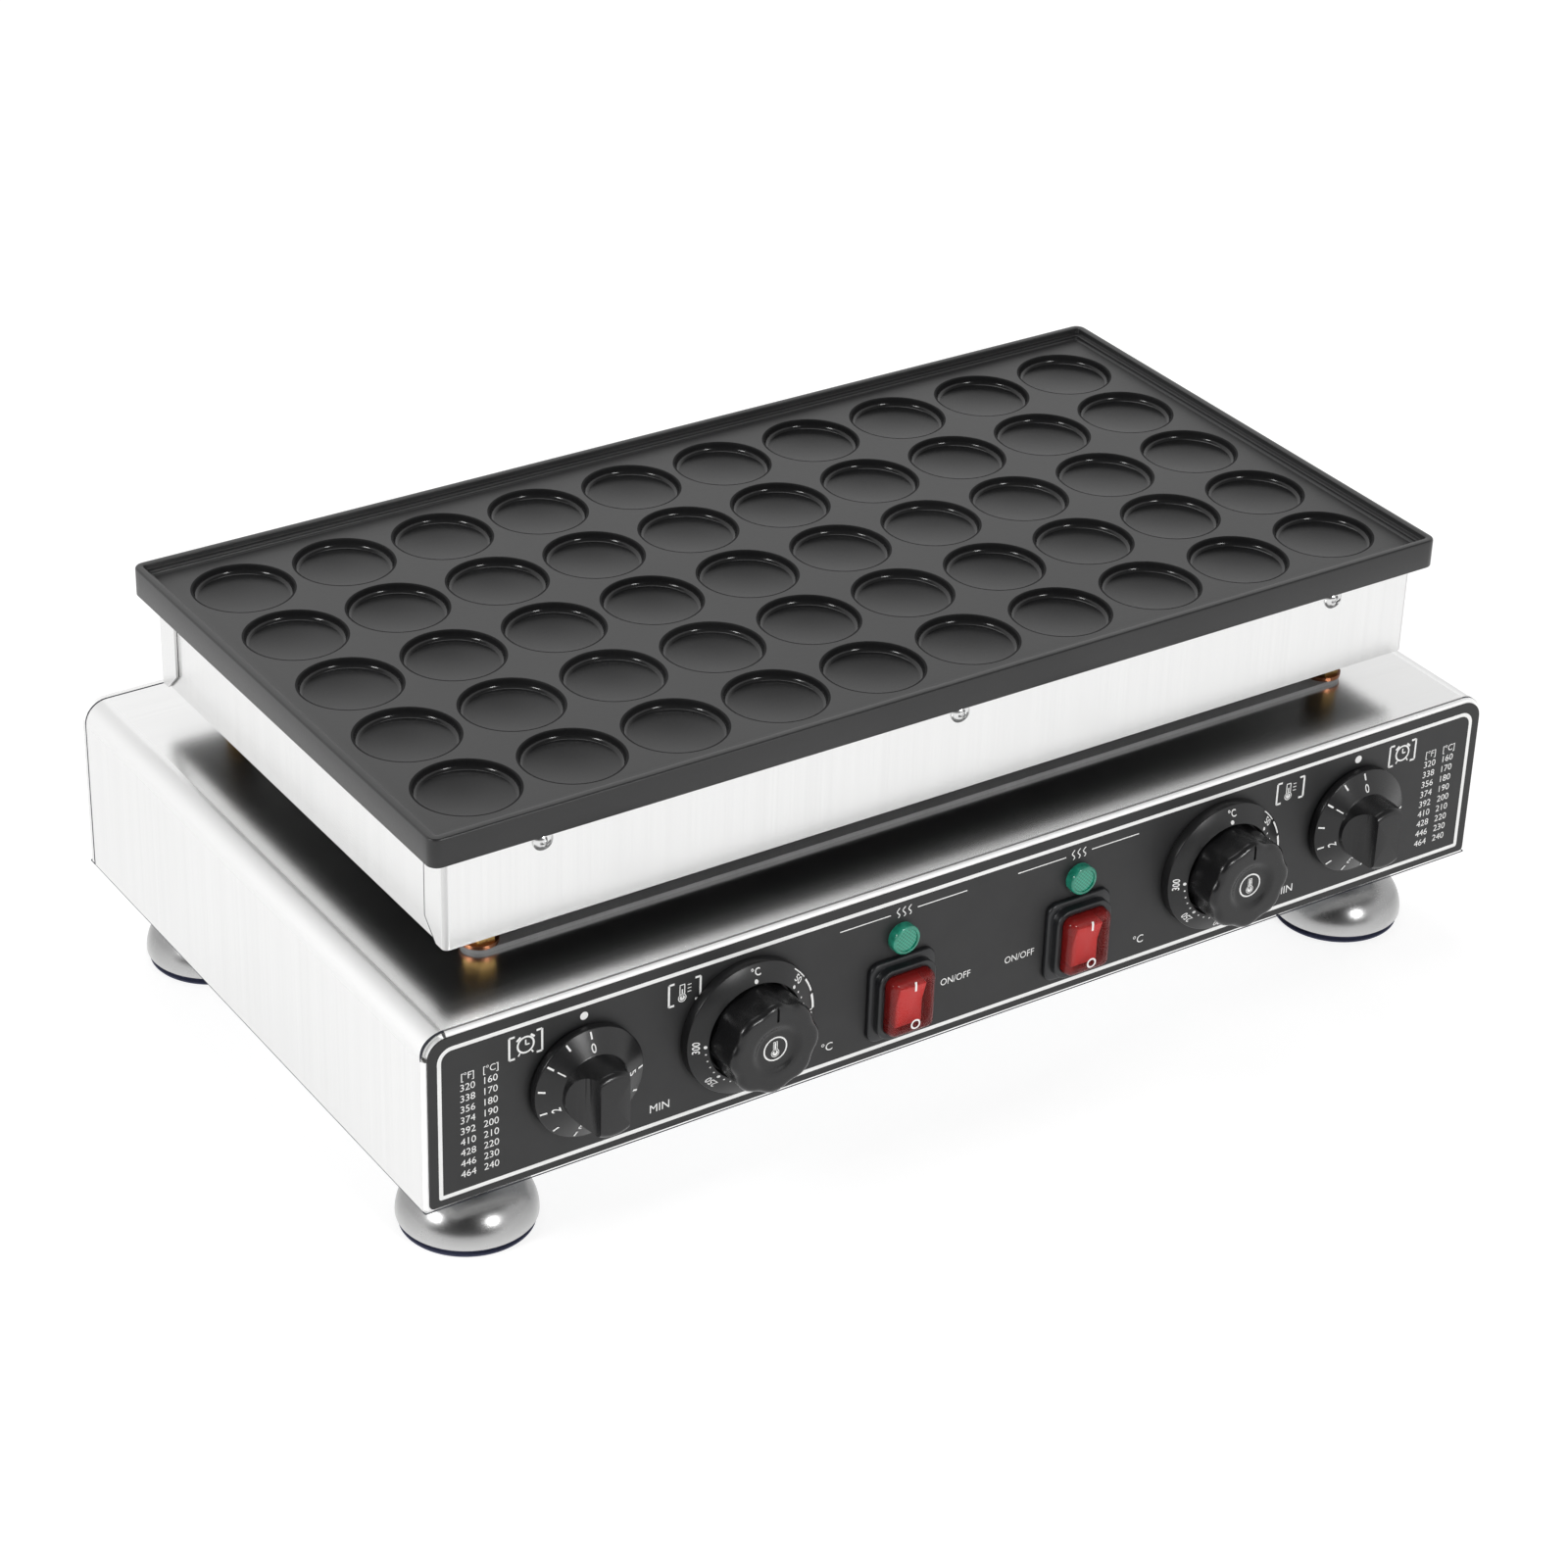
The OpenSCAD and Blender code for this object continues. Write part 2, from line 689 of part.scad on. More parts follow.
module box_floor() {
  w = box_w - 2 * (2 * sheet + 2 * slip);
  d = box_d - 2 * (sheet + slip);
  color([0.75, 0.76, 0.77]) translate([0, 0, box_z0]) difference() {
    translate([-w / 2, -d / 2, 0]) cube([w, d, tray_edge_h]);
    translate([-w / 2 + sheet, -d / 2 + sheet, sheet]) cube([w - 2 * sheet, d - 2 * sheet, tray_edge_h]);
    translate([0, 0, -1]) stud_places() cylinder(h = sheet + 2, d = stud_d + 2 * slip);
    translate([0, sleeve_y, -1]) cylinder(h = sheet + 2, d = sleeve_d + 2 * slip);
  }
}

module box_screws() {
  shank = sheet + slip + skirt_t - 1;
  color([0.82, 0.82, 0.83]) for (side = [0, 180], x = [-box_screw_x, 0, box_screw_x]) rotate([0, 0, side])
    translate([x, -box_d / 2, box_screw_z]) rotate([90, 0, 0])
      pan_head_screw(screw_head_d, small_screw_d, shank);
}

module insulation_mat() {
  w = 2 * (stud_x - hex_af - mat_clear);
  d = box_d - 2 * (2 * sheet + 2 * slip + mat_clear);
  color([0.93, 0.92, 0.88]) translate([0, 0, box_z0 + sheet]) difference() {
    translate([-w / 2, -d / 2, 0]) cube([w, d, mat_t]);
    translate([0, sleeve_y, -1]) cylinder(h = mat_t + 2, d = sleeve_d + 2 * slip);
  }
}

// Cooking plate

module cavity_places() {
  for (i = [0 : cavity_cols - 1], j = [0 : cavity_rows - 1])
    translate([
      (i - (cavity_cols - 1) / 2) * cavity_pitch,
      (j - (cavity_rows - 1) / 2) * cavity_pitch,
      0
    ])
      children();
}

// Half section of the space in one cavity, land on y = 0
module cavity_section() {
  r = cavity_d / 2;
  floor_r = r - cavity_fillet;
  ball_r = (floor_r * floor_r + cavity_dish * cavity_dish) / (2 * cavity_dish);
  union() {
    translate([0, -cavity_depth]) square([floor_r, cavity_depth + 1]);
    translate([0, -cavity_depth + cavity_fillet]) square([r, cavity_depth - cavity_fillet + 1]);
    translate([floor_r, -cavity_depth + cavity_fillet]) circle(cavity_fillet);
    intersection() {
      translate([0, -cavity_depth - cavity_dish + ball_r]) circle(ball_r);
      translate([0, -cavity_depth - cavity_dish]) square([floor_r, cavity_dish + 1]);
    }
  }
}

module tray_cut(inset, depth) {
  w = plate_w - 2 * inset;
  d = plate_d - 2 * inset;
  r = max(plate_corner_r - inset, 1);
  translate([0, -d / 2, land_z + rim_h - depth]) linear_extrude(depth + 1) rounded_rect(w, d, r, r);
}

module cooking_plate() {
  edge_h = plate_t + rim_h;
  color([0.2, 0.2, 0.21]) difference() {
    union() {
      translate([0, -plate_d / 2, box_z1])
        soft_slab(plate_w, plate_d, edge_h, plate_corner_r, plate_corner_r, plate_edge_r);
      translate([0, 0, box_z1 - skirt_h]) difference() {
        translate([-skirt_w / 2, -skirt_d / 2, 0]) cube([skirt_w, skirt_d, skirt_h + eps]);
        translate([-skirt_w / 2 + skirt_t, -skirt_d / 2 + skirt_t, -1])
          cube([skirt_w - 2 * skirt_t, skirt_d - 2 * skirt_t, skirt_h + 1]);
      }
    }
    tray_cut(rim_w, rim_h - ledge_h);
    tray_cut(rim_w + ledge_w, rim_h);
    translate([0, 0, land_z]) cavity_places() rotate_extrude() cavity_section();
    for (side = [0, 180], x = [-box_screw_x, 0, box_screw_x]) rotate([0, 0, side])
      translate([x, -skirt_d / 2 - 1, box_screw_z]) rotate([-90, 0, 0])
        cylinder(h = skirt_t, d = small_screw_d);
    for (x = clamp_xs) mirror_pair() for (s = [-1, 1])
      translate([x, s * clamp_bolt_y, box_z1 - 1]) cylinder(h = plate_t - 2, d = clamp_bolt_d);
  }
}

// Heating

// One heater to the right of the middle: straight runs joined by half turns, ends turned down
module heater_shape() {
  y0 = -(heater_runs - 1) / 2 * heater_pitch;
  bend = heater_pitch / 2;
  x0 = heater_x0 + bend;
  x1 = x0 + heater_run_l;
  drop = 14;
  union() {
    for (i = [0 : heater_runs - 1]) {
      start = (i == 0 || i == heater_runs - 1) ? heater_x0 : x0;
      translate([start, y0 + i * heater_pitch, heater_z]) rotate([0, 90, 0])
        cylinder(h = x1 - start, d = heater_d);
    }
    for (i = [0 : heater_runs - 2]) {
      far = i % 2 == 0;
      translate([far ? x1 : x0, y0 + (i + 0.5) * heater_pitch, heater_z]) rotate([0, 0, far ? -90 : 90])
        rotate_extrude(angle = 180) translate([bend, 0]) circle(d = heater_d);
    }
    for (s = [-1, 1]) translate([heater_x0, s * y0, heater_z]) {
      sphere(d = heater_d);
      translate([0, 0, -drop]) cylinder(h = drop, d = heater_d);
      translate([0, 0, -drop - 4]) cylinder(h = 5, d = heater_d / 2);
    }
  }
}

module heater_left() { color([0.45, 0.43, 0.4]) mirror([1, 0, 0]) heater_shape(); }
module heater_right() { color([0.45, 0.43, 0.4]) heater_shape(); }

// Two cross bars that press one heater against the plate
module clamp_bars() {
  l = (heater_runs - 1) * heater_pitch + 2 * heater_d;
  for (x = clamp_xs) translate([x, 0, clamp_z]) difference() {
    translate([-clamp_w / 2, -l / 2, 0]) cube([clamp_w, l, clamp_t]);
    for (s = [-1, 1]) translate([0, s * clamp_bolt_y, -1])
      cylinder(h = clamp_t + 2, d = clamp_bolt_d + 2 * slip);
  }
}

module heater_clamp_left() { color([0.6, 0.6, 0.6]) mirror([1, 0, 0]) clamp_bars(); }
module heater_clamp_right() { color([0.6, 0.6, 0.6]) clamp_bars(); }

module clamp_bolts() {
  head_h = 4;
  color([0.7, 0.7, 0.71]) for (x = clamp_xs) mirror_pair() for (s = [-1, 1])
    translate([x, s * clamp_bolt_y, clamp_z]) union() {
    translate([0, 0, -head_h]) hex_prism(head_h, 10);
    translate([0, 0, -eps]) cylinder(h = box_z1 - clamp_z + plate_t / 2, d = clamp_bolt_d);
  }
}

module terminal_block() {
  l = 64;
  w = 22;
  h = 20;
  ways = 5;
  color([0.92, 0.91, 0.87]) translate([0, 0.2 * base_d, cover_z + sheet]) difference() {
    translate([-l / 2, -w / 2, 0]) cube([l, w, h]);
    for (i = [0 : ways - 1], s = [-1, 1]) translate([(i - (ways - 1) / 2) * l / ways, s * w / 4, h / 2])
      cylinder(h = h, d = 6);
  }
}

// Cable gland at the back, with its lock nut inside

module cable_gland() {
  hex_h = 7;
  lock_h = 5;
  tail = sheet + lock_h + 2;
  nose_r = 3;
  nose_d = 24;
  color([0.12, 0.12, 0.12]) translate([gland_x, base_d / 2, base_z0 + gland_z]) rotate([-90, 0, 0]) {
    difference() {
      union() {
        hex_prism(hex_h, gland_thread_d + 7);
        translate([0, 0, -tail]) cylinder(h = tail + 1, d = gland_thread_d);
        rotate_extrude() union() {
          square([nose_d / 2, gland_reach - nose_r]);
          square([nose_d / 2 - nose_r, gland_reach]);
          translate([nose_d / 2 - nose_r, gland_reach - nose_r]) circle(nose_r);
        }
      }
      translate([0, 0, -tail - 1]) cylinder(h = tail + gland_reach + 2, d = gland_bore_d);
    }
    translate([0, 0, -sheet - lock_h]) hex_nut(lock_h, gland_thread_d + 7, gland_thread_d + slip);
  }
}

// Rotary controls, local z out of the panel

control_back = panel_t + sheet;

module control_body(w, h, l) {
  difference() {
    union() {
      translate([-w / 2, -h / 2, -control_back - l]) cube([w, h, l]);
      translate([0, 0, -control_back - eps]) cylinder(h = control_back + bushing_out, d = bushing_d);
    }
    translate([0, 0, -control_back - l / 2]) cylinder(h = l, d = shaft_d + 2 * running);
  }
}

// Round shaft with a flat on its knob end
module control_shaft(z0, z1, flat_from) {
  difference() {
    translate([0, 0, z0]) cylinder(h = z1 - z0, d = shaft_d);
    translate([-shaft_d, 0.3 * shaft_d, flat_from]) cube([2 * shaft_d, shaft_d, z1]);
  }
}

module shaft_bore(z0, z1) {
  difference() {
    translate([0, 0, z0]) cylinder(h = z1 - z0, d = shaft_d + 2 * running);
    translate([-shaft_d, 0.3 * shaft_d + running, z0 - 1]) cube([2 * shaft_d, shaft_d, z1 - z0 + 2]);
  }
}

timer_shaft_end = timer_reach - 6;
thermo_shaft_end = thermo_reach - 7;
flat_start = bushing_out + free_gap;

module timer_body(side) {
  color([0.75, 0.74, 0.7])
    on_panel(side * timer_x, dial_z)
      control_body(timer_body_w, timer_body_w, timer_body_l);
}
module timer_body_left() { timer_body(-1); }
module timer_body_right() { timer_body(1); }

module timer_shaft(side) {
  color([0.8, 0.8, 0.81]) on_panel(side * timer_x, dial_z)
    control_shaft(-control_back - timer_body_l / 2, timer_shaft_end, flat_start);
}
module timer_shaft_left() { timer_shaft(-1); }
module timer_shaft_right() { timer_shaft(1); }

module timer_knob_turned() {
  r = timer_skirt_d / 2;
  edge = 1.2;
  cone_h = timer_edge_h + 4.5;
  rotate_extrude() union() {
    polygon([
      [0, free_gap], [r, free_gap], [r, free_gap + timer_edge_h],
      [timer_grip_d / 2, free_gap + cone_h], [0, free_gap + cone_h]
    ]);
    square([timer_grip_d / 2, timer_reach - edge]);
    square([timer_grip_d / 2 - edge, timer_reach]);
    translate([timer_grip_d / 2 - edge, timer_reach - edge]) circle(edge);
  }
}

module timer_knob(side) {
  recess = bushing_out + free_gap;
  color([0.1, 0.1, 0.1]) on_panel(side * timer_x, dial_z) difference() {
    timer_knob_turned();
    cylinder(h = 2 * free_gap, r = timer_skirt_d, center = true);
    for (s = [-1, 1]) translate([s * (timer_bar_w / 2 + timer_scoop_r), -timer_skirt_d, timer_reach])
      rotate([-90, 0, 0])
      cylinder(h = 2 * timer_skirt_d, r = timer_scoop_r);
    cylinder(h = recess, d = bushing_d + 2 * free_gap);
    shaft_bore(recess - eps, timer_shaft_end + slip);
  }
}
module timer_knob_left() { timer_knob(-1); }
module timer_knob_right() { timer_knob(1); }

module thermostat_body(side) {
  color([0.78, 0.77, 0.73])
    on_panel(side * thermostat_x, dial_z)
      control_body(thermo_body_w, thermo_body_h, thermo_body_l);
}
module thermostat_body_left() { thermostat_body(-1); }
module thermostat_body_right() { thermostat_body(1); }

module thermostat_shaft(side) {
  color([0.8, 0.8, 0.81]) on_panel(side * thermostat_x, dial_z)
    control_shaft(-control_back - thermo_body_l / 2, thermo_shaft_end, ring_floor + free_gap);
}
module thermostat_shaft_left() { thermostat_shaft(-1); }
module thermostat_shaft_right() { thermostat_shaft(1); }

ring_floor = 3.5;
ring_mouth_r = thermo_knob_d / 2 + 1;

module thermostat_ring(side) {
  r = ring_d / 2;
  hole_r = bushing_d / 2 + slip;
  color([0.11, 0.11, 0.11]) on_panel(side * thermostat_x, dial_z) rotate_extrude() polygon([
    [hole_r, 0],
      [r, 0], [r, ring_edge_h], [ring_mouth_r, ring_h], [ring_mouth_r, ring_floor], [hole_r, ring_floor]
  ]);
}
module thermostat_ring_left() { thermostat_ring(-1); }
module thermostat_ring_right() { thermostat_ring(1); }

module thermostat_knob(side) {
  r = thermo_knob_d / 2;
  back = ring_floor + free_gap;
  edge = 1.5;
  dish_r = r - 4.5;
  ball_r = (dish_r * dish_r + thermo_dish * thermo_dish) / (2 * thermo_dish);
  mark_w = 1.2;
  color([0.09, 0.09, 0.09]) on_panel(side * thermostat_x, dial_z) difference() {
    rotate_extrude() union() {
      translate([0, back]) square([r, thermo_reach - edge - back]);
      translate([0, back]) square([r - edge, thermo_reach - back]);
      translate([r - edge, thermo_reach - edge]) circle(edge);
    }
    for (i = [0 : thermo_lobes - 1]) rotate([0, 0, 90 + (i + 0.5) * 360 / thermo_lobes])
      translate([r + thermo_hollow_r - thermo_hollow, 0, back - 1])
        cylinder(h = thermo_reach, r = thermo_hollow_r);
    translate([0, 0, thermo_reach - thermo_dish + ball_r]) sphere(ball_r);
    translate([-mark_w / 2, dish_r - 3, thermo_reach - 0.9]) cube([mark_w, r, 2]);
    shaft_bore(back - 1, thermo_shaft_end + slip);
  }
}
module thermostat_knob_left() { thermostat_knob(-1); }
module thermostat_knob_right() { thermostat_knob(1); }

// Right-hand bulb under the plate, and its capillary down the sleeve to the thermostat
module bulb_shape() {
  d = capillary_d;
  bend = 8;
  y0 = panel_y + control_back + thermo_body_l;
  z0 = base_z0 + dial_z;
  x0 = 5;
  bulb_z = box_z1 - slip - bulb_d / 2;
  bulb_x = sleeve_d / 2 + 4;
  union() {
    translate([thermostat_x, y0, z0]) rotate([-90, 0, 0]) cylinder(h = sleeve_y - bend - y0, d = d);
    translate([thermostat_x - bend, sleeve_y - bend, z0]) elbow(d, bend);
    translate([x0 + bend, sleeve_y, z0]) rotate([0, 90, 0])
      cylinder(h = thermostat_x - x0 - 2 * bend, d = d);
    translate([x0 + bend, sleeve_y, z0 + bend]) rotate([90, 0, 0]) rotate([0, 0, 180]) elbow(d, bend);
    translate([x0, sleeve_y, z0 + bend]) cylinder(h = bulb_z - z0 - 2 * bend, d = d);
    translate([x0 + bend, sleeve_y, bulb_z - bend]) rotate([90, 0, 0]) rotate([0, 0, 90]) elbow(d, bend);
    translate([x0 + bend, sleeve_y, bulb_z]) rotate([0, 90, 0])
      cylinder(h = bulb_x + 1 - x0 - bend, d = d);
    translate([bulb_x, sleeve_y, bulb_z]) rotate([0, 90, 0]) cylinder(h = bulb_l, d = bulb_d);
  }
}

module thermostat_bulb_left() { color([0.72, 0.45, 0.3]) mirror([1, 0, 0]) bulb_shape(); }
module thermostat_bulb_right() { color([0.72, 0.45, 0.3]) bulb_shape(); }

// Rocker switches under red boots

frame_t = 2.5;
collar_h = 6.5;
collar_wall = 2.8;
boot_seat = 3;
pocket_w = rocker_w + 0.8;
pocket_h = rocker_h + 3;
pocket_depth = 10;
switch_body_l = 26;
pin_l = 1.6;

module centred_rect(w, h, r) {
  translate([0, -h / 2]) rounded_rect(w, h, r, r);
}

module switch_housing(side) {
  collar_w = boot_w + 2 * slip + 2 * collar_wall;
  collar_hh = boot_h + 2 * slip + 2 * collar_wall;
  color([0.1, 0.1, 0.1]) on_panel(side * switch_x, switch_z) difference() {
    union() {
      translate([0, -frame_h / 2, 0]) soft_slab(frame_w, frame_h, frame_t, 5, 5, 1.2);
      linear_extrude(collar_h) centred_rect(collar_w, collar_hh, boot_r + collar_wall);
      translate([-housing_w / 2, -housing_h / 2, -switch_body_l])
        cube([housing_w, housing_h, switch_body_l + 1]);
    }
    translate([0, 0, boot_seat]) linear_extrude(collar_h)
      centred_rect(boot_w + 2 * slip, boot_h + 2 * slip, boot_r + slip);
    translate([-pocket_w / 2, -pocket_h / 2, boot_seat - pocket_depth])
      cube([pocket_w, pocket_h, pocket_depth + 1]);
    rotate([0, 90, 0]) translate([0, 0, -rocker_w / 2 - pin_l - slip])
      translate([-rocker_axis, 0, 0])
        cylinder(h = rocker_w + 2 * (pin_l + slip), d = rocker_pin_d + 2 * running);
  }
}
module switch_housing_left() { switch_housing(-1); }
module switch_housing_right() { switch_housing(1); }

module switch_boot(side) {
  inner_r = boot_r - boot_wall;
  inner_w = boot_w - 2 * boot_wall;
  inner_h = boot_h - 2 * boot_wall;
  l = boot_reach - boot_seat;
  color([0.75, 0.08, 0.08]) on_panel(side * switch_x, switch_z) translate([0, 0, boot_seat])
    difference() {
    translate([0, -boot_h / 2, 0]) soft_slab(boot_w, boot_h, l, boot_r, boot_r, boot_r);
    translate([0, -inner_h / 2, -1])
      soft_slab(inner_w, inner_h, l - boot_wall + 1, inner_r, inner_r, inner_r);
  }
}
module switch_boot_left() { switch_boot(-1); }
module switch_boot_right() { switch_boot(1); }

rocker_axis = 0.5;
rocker_face = boot_reach - boot_wall - 3.3;
rocker_back = -4;

// Side view of the rocker about its pin: a shallow V in front, tapered behind
module rocker_outline() {
  rise = rocker_h / 2 * tan(rocker_throw / 2);
  polygon([
    [-rocker_h / 2, 0], [-rocker_h / 2, rocker_face - rocker_axis + rise], [0, rocker_face - rocker_axis],
    [rocker_h / 2, rocker_face - rocker_axis + rise], [rocker_h / 2, 0],
    [rocker_h / 4, rocker_back], [-rocker_h / 4, rocker_back]
  ]);
}

module rocker(side) {
  color([0.85, 0.12, 0.12]) on_panel(side * switch_x, switch_z) translate([0, 0, rocker_axis])
    rotate([rocker_throw / 2, 0, 0]) union() {
    rotate([90, 0, 90]) translate([0, 0, -rocker_w / 2]) linear_extrude(rocker_w) rocker_outline();
    translate([-rocker_w / 2 - pin_l, 0, 0]) rotate([0, 90, 0])
      cylinder(h = rocker_w + 2 * pin_l, d = rocker_pin_d);
  }
}
module rocker_left() { rocker(-1); }
module rocker_right() { rocker(1); }

// Indicator lamps

lamp_body_l = 18;

module lamp_body(side) {
  color([0.85, 0.85, 0.83]) on_panel(side * switch_x, lamp_z)
    translate([0, 0, -control_back - lamp_body_l]) difference() {
    cylinder(h = lamp_body_l, d = lamp_stem_d + 3.4);
    translate([0, 0, lamp_body_l / 2]) cylinder(h = lamp_body_l, d = lamp_stem_d + 2 * slip);
  }
}
module lamp_body_left() { lamp_body(-1); }
module lamp_body_right() { lamp_body(1); }

module lamp_lens(side) {
  r = lamp_d / 2;
  edge = 1;
  face_r = r - 1.6;
  color([0.1, 0.6, 0.4]) on_panel(side * switch_x, lamp_z) rotate_extrude() difference() {
    union() {
      translate([0, -control_back - lamp_body_l / 2])
        square([lamp_stem_d / 2, control_back + lamp_body_l / 2 + 1]);
      square([r, lamp_reach - edge]);
      square([r - edge, lamp_reach]);
      translate([r - edge, lamp_reach - edge]) circle(edge);
    }
    translate([-eps, lamp_reach - 0.6]) square([face_r, 2]);
  }
}
module lamp_lens_left() { lamp_lens(-1); }
module lamp_lens_right() { lamp_lens(1); }

base_shell();
front_plate();
rear_plate();
control_panel();
bottom_cover();
bottom_cover_screws();
foot_front_left();
foot_front_right();
foot_rear_left();
foot_rear_right();
foot_pads();
foot_bolts();
box_front();
box_rear();
box_left();
box_right();
box_floor();
box_screws();
insulation_mat();
cooking_plate();
heater_left();
heater_right();
heater_clamp_left();
heater_clamp_right();
clamp_bolts();
support_rail_front();
support_rail_rear();
standoff_studs();
standoff_spacers();
stud_washers();
stud_nuts();
wiring_sleeve();
terminal_block();
cable_gland();
timer_body_left();
timer_body_right();
timer_shaft_left();
timer_shaft_right();
timer_knob_left();
timer_knob_right();
thermostat_body_left();
thermostat_body_right();
thermostat_shaft_left();
thermostat_shaft_right();
thermostat_ring_left();
thermostat_ring_right();
thermostat_knob_left();
thermostat_knob_right();
thermostat_bulb_left();
thermostat_bulb_right();
switch_housing_left();
switch_housing_right();
switch_boot_left();
switch_boot_right();
rocker_left();
rocker_right();
lamp_body_left();
lamp_body_right();
lamp_lens_left();
lamp_lens_right();
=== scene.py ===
# Table baker with a plate of round cavities: the looks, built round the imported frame
import json
import math

import bmesh
import bpy
from mathutils import Matrix, Vector


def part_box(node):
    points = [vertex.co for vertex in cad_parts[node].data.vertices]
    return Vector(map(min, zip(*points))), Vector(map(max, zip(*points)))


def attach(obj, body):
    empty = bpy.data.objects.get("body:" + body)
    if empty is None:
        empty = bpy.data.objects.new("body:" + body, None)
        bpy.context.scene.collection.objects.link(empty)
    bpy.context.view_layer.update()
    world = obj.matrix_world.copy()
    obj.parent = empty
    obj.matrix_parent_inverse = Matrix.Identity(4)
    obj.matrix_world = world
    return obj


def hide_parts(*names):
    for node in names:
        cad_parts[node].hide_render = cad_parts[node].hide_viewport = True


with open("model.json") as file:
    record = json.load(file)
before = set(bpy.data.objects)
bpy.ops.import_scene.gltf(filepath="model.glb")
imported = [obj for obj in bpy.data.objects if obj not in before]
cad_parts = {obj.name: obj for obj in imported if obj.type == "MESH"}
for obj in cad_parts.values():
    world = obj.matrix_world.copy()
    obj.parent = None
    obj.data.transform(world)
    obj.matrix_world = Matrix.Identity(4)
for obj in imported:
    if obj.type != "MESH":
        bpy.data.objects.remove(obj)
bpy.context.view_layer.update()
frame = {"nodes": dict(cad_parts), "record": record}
nodes = frame["nodes"]
scene = bpy.context.scene
bothSides = ("left", "right")
mm = 0.001
weld = 2e-6
print("frame loaded:", len(nodes), "nodes")

# camera fitted to the photograph, in metres
cameraView = {
    "place": (-0.920413, -1.358493, 1.047579),
    "right": (0.837092, -0.546358, 0.027726),
    "down": (-0.257695, -0.438514, -0.860987),
    "forward": (0.482566, 0.713581, -0.507870),
    "lens": 94.137,
    "sensor": 36.0,
    "far": 60.0,
}


def makeCamera(view):
    data = bpy.data.cameras.new("photoCamera")
    data.lens = view["lens"]
    data.sensor_width = view["sensor"]
    data.clip_end = view["far"]
    obj = bpy.data.objects.new("photoCamera", data)
    scene.collection.objects.link(obj)
    columns = [Vector(view["right"]), -Vector(view["down"]), -Vector(view["forward"]), Vector(view["place"])]
    obj.matrix_world = Matrix([[c[row] for c in columns] for row in range(3)] + [[0, 0, 0, 1]])
    scene.camera = obj


makeCamera(cameraView)
scene.view_settings.view_transform = "Standard"
print("camera set")


# node trees: values carry operators, everything else comes from add()
class nodeValue:
    def __init__(self, graph, socket):
        self.graph = graph
        self.socket = socket

    def __add__(self, other):
        return self.graph.maths("ADD", self, other)

    def __sub__(self, other):
        return self.graph.maths("SUBTRACT", self, other)

    def __rsub__(self, other):
        return self.graph.maths("SUBTRACT", other, self)

    def __mul__(self, other):
        return self.graph.maths("MULTIPLY", self, other)


class nodeGraph:
    def __init__(self, tree):
        self.tree = tree
        tree.nodes.clear()

    def add(self, kind, settings=None, sockets=None, out=0):
        node = self.tree.nodes.new(kind)
        for key, value in (settings or {}).items():
            setattr(node, key, value)
        for key, value in (sockets or {}).items():
            if isinstance(value, nodeValue):
                self.tree.links.new(value.socket, node.inputs[key])
            else:
                node.inputs[key].default_value = value
        return nodeValue(self, node.outputs[out]) if node.outputs else None

    def maths(self, operation, *values):
        return self.add("ShaderNodeMath", {"operation": operation}, dict(enumerate(values)))

    def given(self, label):
        return self.add("NodeGroupInput", out=label)


# a recipe turns a graph and a finish into the sockets of the shader
def makeMaterial(name, recipe, spec):
    material = bpy.data.materials.new(name)
    material.use_nodes = True
    graph = nodeGraph(material.node_tree)
    shader = graph.add("ShaderNodeBsdfPrincipled", None, recipe(graph, spec))
    graph.add("ShaderNodeOutputMaterial", None, {"Surface": shader})
    return material


def objectPoint(graph, scale=(1.0, 1.0, 1.0), turn=(0.0, 0.0, 0.0)):
    point = graph.add("ShaderNodeTexCoord", out="Object")
    return graph.add("ShaderNodeMapping", None, {"Vector": point, "Scale": scale, "Rotation": turn})


def noise(graph, size, detail=2.0, rough=0.5, stretch=(1.0, 1.0, 1.0)):
    point = objectPoint(graph, stretch)
    return graph.add("ShaderNodeTexNoise", None, {"Vector": point, "Scale": size, "Detail": detail, "Roughness": rough})


def fitted(graph, value, low, high):
    return graph.add("ShaderNodeMapRange", {"clamp": True}, {"Value": value, "From Min": low, "From Max": high})


def spread(value, ends):
    return value * (ends[1] - ends[0]) + ends[0]


def blend(first, second, share):
    return first * (1 - share) + second * share


def tint(graph, factor, first, second):
    first, second = [c if isinstance(c, nodeValue) else (*c, 1) for c in (first, second)]
    return graph.add("ShaderNodeMix", {"data_type": "RGBA"}, {0: factor, 6: first, 7: second}, 2)


def bump(graph, height, strength, distance):
    return graph.add("ShaderNodeBump", None, {"Height": height, "Strength": strength, "Distance": distance})


# brushed sheet: fine and broad grain lines that change along one axis only
sheetSteel = {
    "dark": (0.770, 0.770, 0.767),
    "light": (0.820, 0.820, 0.817),
    "roughness": (0.232, 0.252),
    "fineLines": 900.0,
    "broadLines": 210.0,
    "alongGrain": 3.0,
    "grainRange": (0.25, 0.75),
    "depth": 0.00001,
    "bendTurn": (0.965, 0.9998),
}
# one finish for each axis of the grain; its bends get more roughness and a painted reflection tone: paler than the flat
# sheet on Z, darker on X
sheetBends = {
    "steelAcrossX": {"across": 0, "light": (0.66, 0.66, 0.657), "rough": 0.30},
    "steelAcrossY": {"across": 1, "light": (0.80, 0.80, 0.797), "rough": 0.30},
    "steelAcrossZ": {"across": 2, "light": (0.97, 0.97, 0.967), "rough": 0.50},
}


